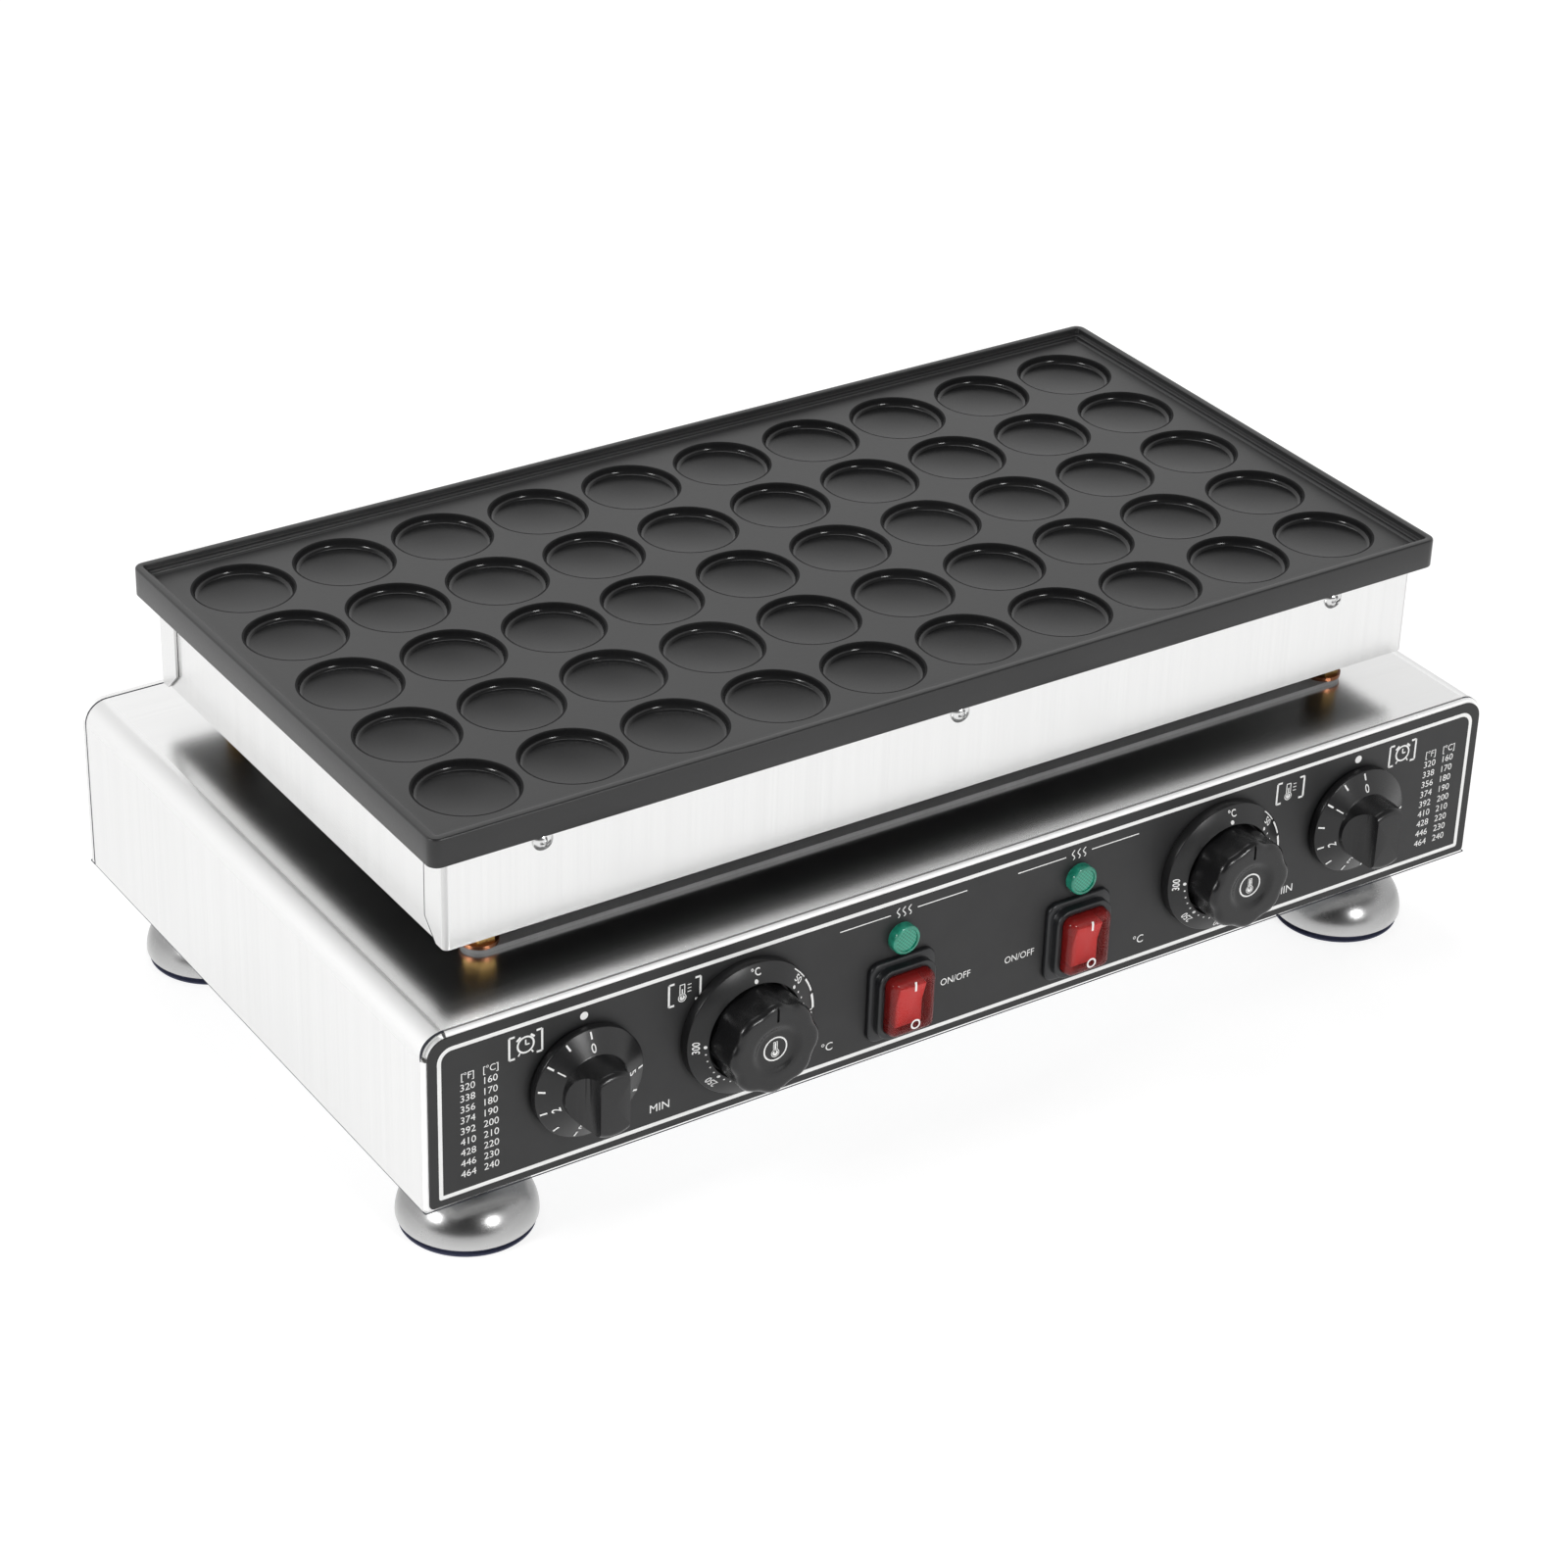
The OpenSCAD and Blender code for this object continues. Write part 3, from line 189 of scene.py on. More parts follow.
def bendShare(graph):
    # 0 on flat faces along an axis, 1 in the middle of a bend, where the painted reflection tone is full
    largest = 0.0
    for axis in "XYZ":
        facing = graph.add("ShaderNodeTexCoord", out="Normal")
        part = graph.add("ShaderNodeSeparateXYZ", None, {"Vector": facing}, axis)
        largest = graph.maths("MAXIMUM", largest, graph.maths("ABSOLUTE", part))
    return 1.0 - fitted(graph, largest, *sheetSteel["bendTurn"])


def brushedSteel(graph, bends):
    lines = []
    for key, detail, rough in (("fineLines", 3.0, 0.6), ("broadLines", 2.0, 0.5)):
        stretch = [sheetSteel["alongGrain"]] * 3
        stretch[bends["across"]] = sheetSteel[key]
        lines.append(noise(graph, 1.0, detail, rough, stretch))
    grain = fitted(graph, blend(*lines, share=0.4), *sheetSteel["grainRange"])
    # painted reflection tone on the bends, chosen by the face normal
    bend = bendShare(graph)
    flat = tint(graph, grain, sheetSteel["dark"], sheetSteel["light"])
    return {
        "Base Color": tint(graph, bend, flat, bends["light"]),
        "Metallic": 1.0,
        "Roughness": spread(grain, sheetSteel["roughness"]) + bend * bends["rough"],
        "Normal": bump(graph, grain, strength=0.04, distance=sheetSteel["depth"]),
    }


# smooth metals share one recipe: cloudy tone, fine scratches; the feet get a painted reflection of the floor, paler
# below, faded in between two heights in metres
metalKeys = ("dark", "light", "rough", "size", "paintedFloorSheen", "paintedSheenHeights")
metalFinish = {
    "polishedFeet": ((0.270, 0.270, 0.270), (0.300, 0.300, 0.300), (0.255, 0.280), 900.0,
                     (0.55, 0.55, 0.548), (0.0145, 0.0050)),
    # painted shade: a near-black sheet for the box floor, so its reflection in the base top reads as the shade under
    # the box
    "paintedShadeSheet": ((0.045, 0.045, 0.045), (0.085, 0.085, 0.085), (0.42, 0.58), 330.0),
    "zincSteel": ((0.46, 0.47, 0.48), (0.66, 0.67, 0.68), (0.30, 0.46), 420.0),
    "studBrass": ((0.15, 0.090, 0.028), (0.24, 0.155, 0.055), (0.30, 0.40), 500.0),
    "washerCopper": ((0.20, 0.075, 0.035), (0.32, 0.14, 0.075), (0.32, 0.46), 520.0),
    "heaterSteel": ((0.13, 0.11, 0.10), (0.30, 0.26, 0.23), (0.42, 0.62), 330.0),
    "screwSteel": ((0.60, 0.60, 0.60), (0.80, 0.80, 0.80), (0.14, 0.26), 600.0),
}


def smoothMetal(graph, row):
    spec = dict(zip(metalKeys, row))
    cloud = noise(graph, spec["size"] * 0.12, detail=4.0, rough=0.6)
    scratch = noise(graph, spec["size"], detail=3.0, rough=0.65, stretch=(1.0, 1.0, 7.0))
    wear = fitted(graph, blend(cloud, scratch, share=0.4), 0.32, 0.68)
    colour = tint(graph, wear, spec["dark"], spec["light"])
    # painted reflection of the floor: the feet turn paler towards their bottom
    if "paintedFloorSheen" in spec:
        level = graph.add("ShaderNodeSeparateXYZ", None, {"Vector": objectPoint(graph)}, "Z")
        colour = tint(graph, fitted(graph, level, *spec["paintedSheenHeights"]), colour, spec["paintedFloorSheen"])
    return {
        "Base Color": colour,
        "Metallic": 1.0,
        "Roughness": spread(wear, spec["rough"]),
        "Normal": bump(graph, scratch, strength=0.12, distance=0.00004),
    }


# cast plate coating: a dark film with fine pepper specks over a cast skin
coatFinish = {
    "dark": (0.008, 0.008, 0.0083),
    "light": (0.015, 0.015, 0.0154),
    "speck": (0.06, 0.06, 0.06),
    "castSize": 620.0,
    "cloudSize": 14.0,
    "speckSize": 1500.0,
    "speckEdge": (0.06, 0.16),
    "speckShare": 0.35,
    "depth": 0.00008,
}
# its sheens, in the order of the plate's material slots: burnished in the cavities, dull at their edges
plateCoats = {
    "plateCoating": {"roughness": (0.31, 0.39), "gloss": 0.5},
    "cavityFloor": {"roughness": (0.19, 0.25), "gloss": 0.25},
    "cavityRing": {"roughness": (0.13, 0.18), "gloss": 0.32},
    "cavityEdge": {"roughness": (0.46, 0.60), "gloss": 0.05},
}


def plateCoating(graph, coat):
    spec = coatFinish
    cast = noise(graph, spec["castSize"], detail=3.0, rough=0.6)
    cloud = noise(graph, spec["cloudSize"])
    cells = graph.add("ShaderNodeTexVoronoi", None, {"Vector": objectPoint(graph), "Scale": spec["speckSize"]})
    speck = 1.0 - fitted(graph, cells, *spec["speckEdge"])
    film = tint(graph, fitted(graph, blend(cloud, cast, share=0.3), 0.3, 0.7), spec["dark"], spec["light"])
    return {
        "Base Color": tint(graph, speck * spec["speckShare"], film, spec["speck"]),
        "Roughness": spread(cast, coat["roughness"]),
        "Specular IOR Level": coat["gloss"],
        "Normal": bump(graph, blend(cast, speck, share=0.2), strength=0.38, distance=spec["depth"]),
    }


# moulded and printed surfaces: spark-eroded skin, small colour drift
mouldKeys = ("dark", "light", "rough", "skin", "depth", "gloss")
mouldFinish = {
    "panelFilm": ((0.010, 0.010, 0.0105), (0.017, 0.017, 0.0175), (0.40, 0.50), 1900.0, 0.00004, 0.42),
    "knobPlastic": ((0.006, 0.006, 0.0064), (0.011, 0.011, 0.0115), (0.23, 0.29), 1600.0, 0.00002, 0.42),
    "dialPlastic": ((0.008, 0.008, 0.0085), (0.014, 0.014, 0.0145), (0.28, 0.36), 1600.0, 0.00003, 0.36),
    "framePlastic": ((0.005, 0.0055, 0.0065), (0.010, 0.011, 0.013), (0.30, 0.42), 1500.0, 0.00005, 0.5),
    "railGrey": ((0.17, 0.17, 0.172), (0.22, 0.22, 0.222), (0.46, 0.58), 1200.0, 0.00003, 0.5),
    "padBlue": ((0.022, 0.026, 0.055), (0.040, 0.046, 0.095), (0.60, 0.78), 900.0, 0.00012, 0.5),
    "padRubber": ((0.010, 0.011, 0.018), (0.022, 0.024, 0.036), (0.66, 0.84), 900.0, 0.00012, 0.5),
    "ceramicBody": ((0.66, 0.63, 0.55), (0.80, 0.78, 0.71), (0.42, 0.60), 1100.0, 0.00008, 0.5),
    "woolMat": ((0.58, 0.55, 0.44), (0.86, 0.84, 0.75), (0.86, 0.98), 380.0, 0.0009, 0.5),
    "printInk": ((0.74, 0.74, 0.73), (0.86, 0.86, 0.85), (0.42, 0.56), 2200.0, 0.00001, 0.5),
    "rockerRed": ((0.50, 0.008, 0.007), (0.66, 0.018, 0.015), (0.26, 0.38), 1500.0, 0.00003, 0.5),
    "glandPlastic": ((0.012, 0.012, 0.012), (0.026, 0.026, 0.026), (0.46, 0.60), 1300.0, 0.00008, 0.5),
}


def mouldedSkin(graph, row):
    spec = dict(zip(mouldKeys, row))
    pores = noise(graph, spec["skin"], rough=0.55)
    drift = noise(graph, spec["skin"] * 0.03, detail=3.0, rough=0.6)
    mixed = fitted(graph, blend(pores, drift, share=0.55), 0.3, 0.7)
    return {
        "Base Color": tint(graph, mixed, spec["dark"], spec["light"]),
        "Roughness": spread(pores, spec["rough"]),
        "Specular IOR Level": spec["gloss"],
        "Normal": bump(graph, pores, strength=0.3, distance=spec["depth"]),
    }


# clear red boot: thin silicone, denser towards its rounded edge
bootFinish = {
    "clearBoot": {
        "face": (0.42, 0.050, 0.046), "edge": (0.19, 0.003, 0.003), "alpha": (0.10, 0.62), "rough": (0.09, 0.16),
        "cloudSize": 160.0, "poreSize": 1400.0,
    },
}


def clearBoot(graph, spec):
    cloud = fitted(graph, noise(graph, spec["cloudSize"], detail=3.0, rough=0.55), 0.3, 0.7)
    pores = noise(graph, spec["poreSize"])
    edge = graph.add("ShaderNodeAttribute", {"attribute_name": "edgeShare"}, out="Fac")
    return {
        "Base Color": tint(graph, blend(edge, cloud, share=0.15), spec["face"], spec["edge"]),
        "Roughness": spread(cloud, spec["rough"]),
        "Alpha": spread(edge, spec["alpha"]),
        "Normal": bump(graph, pores, strength=0.12, distance=0.00003),
    }


# green lens: pressed criss-cross ribs in a plain rim
lensFinish = {
    "deep": (0.003, 0.115, 0.070),
    "pale": (0.022, 0.30, 0.20),
    "glow": (0.01, 0.20, 0.12, 1),
    "roughness": (0.16, 0.26),
    "ribs": 240.0,
    "ribDepth": 0.00012,
    "shadeSize": 300.0,
    "coat": 0.35,
}
lensParts = {
    "lensFace": {"ribTurns": (45, -45), "glow": 0.18, "relief": 0.35},
    "lensRim": {"ribTurns": (), "glow": 0.03, "relief": 0.08},
}


def lensGreen(graph, part):
    spec = lensFinish
    ribs = shade = noise(graph, spec["shadeSize"])
    waves = []
    for degrees in part["ribTurns"]:
        point = objectPoint(graph, turn=(0.0, math.radians(degrees), 0.0))
        sockets = {"Vector": point, "Scale": spec["ribs"]}
        waves.append(graph.add("ShaderNodeTexWave", {"bands_direction": "X"}, sockets, 1))
    if waves:
        ribs = blend(*waves, share=0.5)
    tone = fitted(graph, blend(ribs, shade, share=0.25), 0.2, 0.8)
    return {
        "Base Color": tint(graph, tone, spec["deep"], spec["pale"]),
        "Roughness": spread(shade, spec["roughness"]),
        "Emission Color": spec["glow"],
        "Emission Strength": part["glow"],
        "Coat Weight": spec["coat"],
        "Normal": bump(graph, ribs, part["relief"], spec["ribDepth"]),
    }


finishes = {}
finishRecipes = [(brushedSteel, sheetBends), (plateCoating, plateCoats), (smoothMetal, metalFinish)]
finishRecipes += [(mouldedSkin, mouldFinish), (clearBoot, bootFinish), (lensGreen, lensParts)]
for finishRecipe, finishTable in finishRecipes:
    for finishName, finishSpec in finishTable.items():
        finishes[finishName] = makeMaterial(finishName, finishRecipe, finishSpec)
print("finishes made:", len(finishes))


# mesh helpers; shapes are given in millimetres and placed by a matrix that also scales
worldPlace = Matrix.Scale(mm, 4)
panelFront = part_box("control_panel")[0].y


def middle(node):
    low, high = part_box(node)
    return (low + high) / 2


def panelPlace(x, z):
    return Matrix.Translation((x, panelFront, z)) @ Matrix.Rotation(math.pi / 2, 4, "X") @ worldPlace


def onPanel(node):
    centre = middle(node)
    return panelPlace(centre.x, centre.z)


def newObject(name, data):
    obj = bpy.data.objects.new(name, data)
    scene.collection.objects.link(obj)
    return obj


def discard(*objects):
    for obj in objects:
        bpy.data.objects.remove(obj)


def shadeByAngle(mesh, angle):
    mesh.polygons.foreach_set("use_smooth", [True] * len(mesh.polygons))
    mesh.set_sharp_from_angle(angle=math.radians(angle))


def solidPiece(name, verts, faces, place, angle=32.0):
    mesh = bpy.data.meshes.new(name)
    mesh.from_pydata([place @ Vector(v) for v in verts], [], faces)
    form = bmesh.new()
    form.from_mesh(mesh)
    bmesh.ops.remove_doubles(form, verts=form.verts, dist=weld)
    bmesh.ops.recalc_face_normals(form, faces=form.faces)
    form.to_mesh(mesh)
    form.free()
    shadeByAngle(mesh, angle)
    return newObject(name, mesh)


def settle(obj, angle=32.0):
    graph = bpy.context.evaluated_depsgraph_get()
    mesh = bpy.data.meshes.new_from_object(obj.evaluated_get(graph))
    obj.modifiers.clear()
    obj.data = mesh
    shadeByAngle(mesh, angle)
    return obj


def softEdges(obj, width, segments, angle):
    bevel = obj.modifiers.new("softEdges", "BEVEL")
    bevel.width = width * mm
    bevel.segments = segments
    bevel.limit_method = "ANGLE"
    bevel.angle_limit = math.radians(angle)


def cutAway(obj, cutter):
    cut = obj.modifiers.new("cutAway", "BOOLEAN")
    cut.operation = "DIFFERENCE"
    cut.solver = "EXACT"
    cut.object = cutter


def arcPoints(cx, cy, radius, start, end, steps):
    turns = [math.radians(start + (end - start) * i / steps) for i in range(steps + 1)]
    return [(cx + radius * math.cos(a), cy + radius * math.sin(a)) for a in turns]


def circleLoop(radius, height, steps):
    turns = [2 * math.pi * i / steps for i in range(steps)]
    return [(radius * math.cos(a), radius * math.sin(a), height) for a in turns]


def cornerLoop(width, depth, radii, height, cornerSteps=6, sideSteps=(1, 1)):
    # counter-clockwise from the right of the bottom side; radii: bottom right, top right, top left, bottom left
    if not isinstance(radii, (tuple, list)):
        radii = (radii,) * 4
    arcs = []
    for (wayX, wayY, start), radius in zip(((1, -1, -90), (1, 1, 0), (-1, 1, 90), (-1, -1, 180)), radii):
        r = max(radius, 0.0)
        arcs.append(arcPoints(wayX * (width / 2 - r), wayY * (depth / 2 - r), r, start, start + 90, cornerSteps))
    points = []
    for k, arc in enumerate(arcs):
        (x0, y0), (x1, y1) = arc[-1], arcs[(k + 1) % 4][0]
        steps = sideSteps[(k + 1) % 2]
        points += arc + [(x0 + (x1 - x0) * i / steps, y0 + (y1 - y0) * i / steps) for i in range(1, steps)]
    return [(x, y, height) for x, y in points]


def skin(loops, capStart=False, capEnd=False):
    count = len(loops[0])
    verts = [p for loop in loops for p in loop]
    faces = []
    for k in range(len(loops) - 1):
        for i in range(count):
            j = (i + 1) % count
            faces.append((k * count + i, k * count + j, (k + 1) * count + j, (k + 1) * count + i))
    if capStart:
        faces.append(tuple(reversed(range(count))))
    if capEnd:
        faces.append(tuple(range((len(loops) - 1) * count, len(loops) * count)))
    return verts, faces


def joined(skins):
    verts, faces = [], []
    for points, walls in skins:
        faces += [tuple(i + len(verts) for i in face) for face in walls]
        verts += points
    return verts, faces


def lofted(name, loops, place, angle=32.0):
    return solidPiece(name, *skin(loops, True, True), place, angle)


def turned(name, profile, place, steps, angle=32.0):
    return solidPiece(name, *skin([circleLoop(r, h, steps) for r, h in profile]), place, angle)


def dress(obj, finish, body, replaced=()):
    obj.data.materials.clear()
    for name in (finish if isinstance(finish, tuple) else (finish,)):
        obj.data.materials.append(finishes[name])
    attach(obj, body)
    if replaced:
        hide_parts(*replaced)
    return obj


# geometry node trees: each sets copies of one object on points
def startTree(name, inputs):
    tree = bpy.data.node_groups.new(name, "GeometryNodeTree")
    tree.interface.new_socket(name="Geometry", in_out="OUTPUT", socket_type="NodeSocketGeometry")
    for label, kind in {"Geometry": "Geometry", **inputs, "Finish": "Material"}.items():
        tree.interface.new_socket(name=label, in_out="INPUT", socket_type="NodeSocket" + kind)
    return tree, nodeGraph(tree)


def endTree(graph, points, label, turn=(0.0, 0.0, 0.0), merge=None):
    copied = graph.add("GeometryNodeObjectInfo", None, {"Object": graph.given(label)}, "Geometry")
    copies = graph.add("GeometryNodeInstanceOnPoints", None, {"Points": points, "Instance": copied, "Rotation": turn})
    result = graph.add("GeometryNodeRealizeInstances", None, {"Geometry": copies})
    if merge:
        result = graph.add("GeometryNodeMergeByDistance", None, {"Geometry": result, "Distance": merge})
    result = graph.add("GeometryNodeSetMaterial", None, {"Geometry": result, "Material": graph.given("Finish")})
    graph.add("NodeGroupOutput", None, {"Geometry": result})


def runTree(name, tree, values, mesh=None):
    obj = newObject(name, mesh or bpy.data.meshes.new(name))
    build = obj.modifiers.new("build", "NODES")
    build.node_group = tree
    keys = {item.name: item.identifier for item in tree.interface.items_tree if item.in_out == "INPUT"}
    for label, value in values.items():
        build[keys[label]] = value
    return settle(obj)


def gridTree():
    tree, graph = startTree("cellGrid", {"Cell": "Object", "Columns": "Int", "Rows": "Int", "Pitch": "Float"})
    columns, rows, pitch = [graph.given(label) for label in ("Columns", "Rows", "Pitch")]
    points = graph.add("GeometryNodeMeshGrid", None, {
        "Size X": (columns - 1.0) * pitch, "Size Y": (rows - 1.0) * pitch, "Vertices X": columns, "Vertices Y": rows})
    endTree(graph, points, "Cell", merge=weld)
    return tree


def dialTree():
    inputs = {"Mark": "Object", "Count": "Int", "Start": "Float", "Step": "Float", "Radius": "Float"}
    tree, graph = startTree("dialMarks", inputs)
    line = graph.add("GeometryNodeMeshLine", None, {"Count": graph.given("Count"), "Offset": (0, 0, 0)})
    turn = graph.add("GeometryNodeInputIndex") * graph.given("Step") + graph.given("Start")
    radius = graph.given("Radius")
    across, up = graph.maths("SINE", turn) * radius, graph.maths("COSINE", turn) * radius
    spot = graph.add("ShaderNodeCombineXYZ", None, {"X": across, "Y": up})
    points = graph.add("GeometryNodeSetPosition", None, {"Geometry": line, "Position": spot})
    endTree(graph, points, "Mark", graph.add("ShaderNodeCombineXYZ", None, {"Z": 0.0 - turn}))
    return tree


def spotTree():
    tree, graph = startTree("spotCopies", {"Piece": "Object", "Turn": "Vector"})
    spots = graph.add("GeometryNodeMeshToPoints", None, {"Mesh": graph.given("Geometry")})
    endTree(graph, spots, "Piece", graph.given("Turn"))
    return tree


spotCopies = spotTree()


def copiesAt(name, piece, spots, turn, finish):
    mesh = bpy.data.meshes.new(name)
    mesh.from_pydata(spots, [], [])
    return runTree(name, spotCopies, {"Piece": piece, "Turn": turn, "Finish": finishes[finish]}, mesh)


# cooking plate: a grid of dished cells inside a stepped rim
cookingPlate = {
    "columns": 10,
    "rows": 5,
    "pitch": 50.0,
    "cellSteps": 64,
    "radius": 22.25,
    "wallDepth": 4.2,
    "fillet": 2.1,
    "lip": 0.5,
    "edge": 1.1,
    "floorSlope": 7.0,
    "floorRings": (17.0, 13.5, 9.0, 4.5, 0.0),
    "rimHeight": 4.6,
    "rimWidth": 3.6,
    "rimRound": 0.4,
    "outerRound": 1.0,
    "ledgeHeight": 2.0,
    "ledgeWidth": 2.5,
    "ledgeRound": 0.3,
    "footRound": 1.2,
    "corner": 5.0,
    "innerCorner": 0.6,
    "skirt": (500.8, 258.2, 11.0),
}


def cavityCell(spec):
    steps, half = spec["cellSteps"], spec["pitch"] / 2
    quarter = steps // 4
    square = []
    for i in range(steps):
        k = ((i + quarter // 2) // quarter) % 4
        t = ((i + quarter // 2) % quarter) / quarter * 2 - 1
        square.append([(half, t * half, 0), (-t * half, half, 0), (-half, -t * half, 0), (t * half, -half, 0)][k])
    r, lip, fillet, slope = spec["radius"], spec["lip"], spec["fillet"], spec["floorSlope"]
    profile = [(r + spec["edge"], 0.0)] + arcPoints(r + lip, -lip, lip, 90, 180, 4)
    profile += arcPoints(r - fillet, fillet - spec["wallDepth"], fillet, 0, slope - 90, 7)
    # the floor is a shallow ball that leaves the fillet without a crease
    floorRadius, floorLevel = profile[-1]
    ball = floorRadius / math.sin(math.radians(slope))
    ballLevel = floorLevel + math.sqrt(ball ** 2 - floorRadius ** 2)
    profile += [(x, ballLevel - math.sqrt(ball ** 2 - x ** 2)) for x in spec["floorRings"]]
    return solidPiece("cavityCell", *skin([square] + [circleLoop(x, y, steps) for x, y in profile]), worldPlace)


def rimLoops(spec, width, depth):
    height, rim, step = spec["rimHeight"], spec["rimWidth"], spec["ledgeHeight"]
    ledge, base = rim + spec["ledgeWidth"], height - spec["total"]
    foot, small, top, outer = spec["footRound"], spec["ledgeRound"], spec["rimRound"], spec["outerRound"]
    # insets from the outside of the plate and levels above its land
    profile = [(ledge + foot, 0.0)] + arcPoints(ledge + foot, foot, foot, 252, 180, 4)
    profile += arcPoints(ledge - small, step - small, small, 0, 90, 3)
    profile += arcPoints(rim + small, step + small, small, 270, 180, 3)
    profile += arcPoints(rim - top, height - top, top, 0, 90, 3)
    profile += arcPoints(outer, height - outer, outer, 90, 180, 5)
    profile += [(0.0, base + 0.3), (0.09, base + 0.09), (0.3, base)]
    # the first loop lies on the outer edge of the cell field, point on point
    pitch, share, inner = spec["pitch"], spec["cellSteps"] // 4, spec["innerCorner"]
    counts = (spec["columns"] * share, spec["rows"] * share)
    outlines = [(spec["columns"] * pitch, spec["rows"] * pitch, 0.0, 0.0)]
    for inset, level in profile:
        outlines.append((width - 2 * inset, depth - 2 * inset, max(spec["corner"] - inset, inner), level))
    skirtWidth, skirtDepth, skirtDrop = spec["skirt"]
    outlines += [(skirtWidth, skirtDepth, inner, level) for level in (base, base - skirtDrop)]
    return [cornerLoop(*outline, 6, counts) for outline in outlines]


def coatCavities(mesh, spec, land):
    # floor, burnished ring and dull edge, told by the distance from the middle of the nearest cavity
    pitch, r = spec["pitch"] * mm, spec["radius"] * mm
    reaches = (r - (spec["fillet"] + 0.1) * mm, r - 0.05 * mm, r + (spec["edge"] - 0.02) * mm)
    spans = (spec["columns"] - 1) / 2, (spec["rows"] - 1) / 2
    for polygon in mesh.polygons:
        point = polygon.center
        if point.z > land + 0.1 * mm or point.z < land - 2 * spec["wallDepth"] * mm:
            continue
        away = []
        for value, span in zip((point.x, point.y), spans):
            nearest = min(max(round(value / pitch + span), 0), 2 * span) - span
            away.append(value - nearest * pitch)
        inside = [index for index, reach in enumerate(reaches, 1) if math.hypot(*away) < reach]
        polygon.material_index = inside[0] if inside else 0


def makePlate(spec):
    low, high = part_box("cooking_plate")
    land = high.z - spec["rimHeight"] * mm
    spec["total"] = (high.z - low.z) / mm - spec["skirt"][2]
    cell = cavityCell(spec)
    grid = runTree("cellField", gridTree(), {
        "Cell": cell, "Columns": spec["columns"], "Rows": spec["rows"], "Pitch": spec["pitch"] * mm,
        "Finish": finishes["plateCoating"]})
    form = bmesh.new()
    form.from_mesh(grid.data)
    discard(cell, grid)
    verts, faces = skin(rimLoops(spec, (high.x - low.x) / mm, (high.y - low.y) / mm), capEnd=True)
    made = [form.verts.new(Vector(v) * mm) for v in verts]
    for face in faces:
        form.faces.new([made[i] for i in face])
    bmesh.ops.remove_doubles(form, verts=form.verts, dist=weld)
    bmesh.ops.translate(form, verts=form.verts, vec=(0, 0, land))
    bmesh.ops.recalc_face_normals(form, faces=form.faces)
    mesh = bpy.data.meshes.new("cavityPlate")
    form.to_mesh(mesh)
    form.free()
    shadeByAngle(mesh, 40)
    dress(newObject("cavityPlate", mesh), tuple(plateCoats), "base", ["cooking_plate"])
    coatCavities(mesh, spec, land)
    print("plate made:", len(mesh.polygons), "faces")


makePlate(cookingPlate)

# timer knob: cone skirt and a round grip scooped on two sides
timerKnob = {
    "skirt": 26.0,
    "gap": 0.8,
    "edge": 4.8,
    "coneTop": 9.3,
    "grip": 15.5,
    "reach": 25.5,
    "bar": 14.0,
    "scoop": 16.0,
    "scoopLength": 120.0,
    "recess": (5.3, 2.8),
    "endRound": 3.0,
    "edgeRound": 1.1,
}


def makeTimerKnob(side, spec):
    node = "timer_knob_" + side
    place = onPanel(node)
    r, gap, edge, cone = spec["skirt"], spec["gap"], spec["edge"], spec["coneTop"]
    grip, reach, ending, scoop = spec["grip"], spec["reach"], spec["endRound"], spec["scoop"]
    recess, recessTop = spec["recess"]
    profile = [(0, recessTop), (recess, recessTop), (recess, gap), (r - 0.4, gap), (r, gap + 0.4)]
    profile += [(r, edge - 0.3), (r - 0.12, edge - 0.08), (r - 0.4, edge + 0.1)]
    profile += [(grip + 0.7, cone - 0.3), (grip + 0.2, cone), (grip, cone + 0.6)]
    profile += arcPoints(grip - ending, reach - ending, ending, 0, 90, 8) + [(0, reach)]
    knob = turned("timerKnob." + side, profile, place, steps=112)
    long = spec["scoopLength"]
    cutters = []
    for way in (-1, 1):
        beside = Matrix.Translation((way * (spec["bar"] / 2 + scoop), -long / 2, reach))
        cutPlace = place @ beside @ Matrix.Rotation(-math.pi / 2, 4, "X")
        cutters.append(turned("scoop", [(0, 0), (scoop, 0), (scoop, long), (0, long)], cutPlace, steps=128))
        cutAway(knob, cutters[-1])
    softEdges(knob, spec["edgeRound"], segments=3, angle=34)
    settle(knob, angle=38)
    discard(*cutters)
    dress(knob, "knobPlastic", "timer_" + side, [node])


for sideName in bothSides:
    makeTimerKnob(sideName, timerKnob)
print("timer knobs made")

# thermostat: fixed dial ring and a scalloped knob standing in it
dialRing = {"outer": 31.8, "edge": 5.0, "mouth": 23.0, "mouthTop": 8.3, "floor": 3.5, "hole": 4.7}
scallopKnob = {
    "radius": 22.0,
    "lobes": 8,
    "hollow": 1.3,
    "hollowPower": 1.4,
    "back": 4.3,
    "reach": 25.0,
    "edge": 3.0,
    "wallDrop": 6.0,
    "faceEdge": (17.0, 0.4),
    "faceRings": 14,
    "dishEdge": (8.2, 12.6),
    "dish": 1.6,
    "groove": (1.2, 9.0, 0.9),
    "grooveInset": 3.5,
    "steps": 128,
}


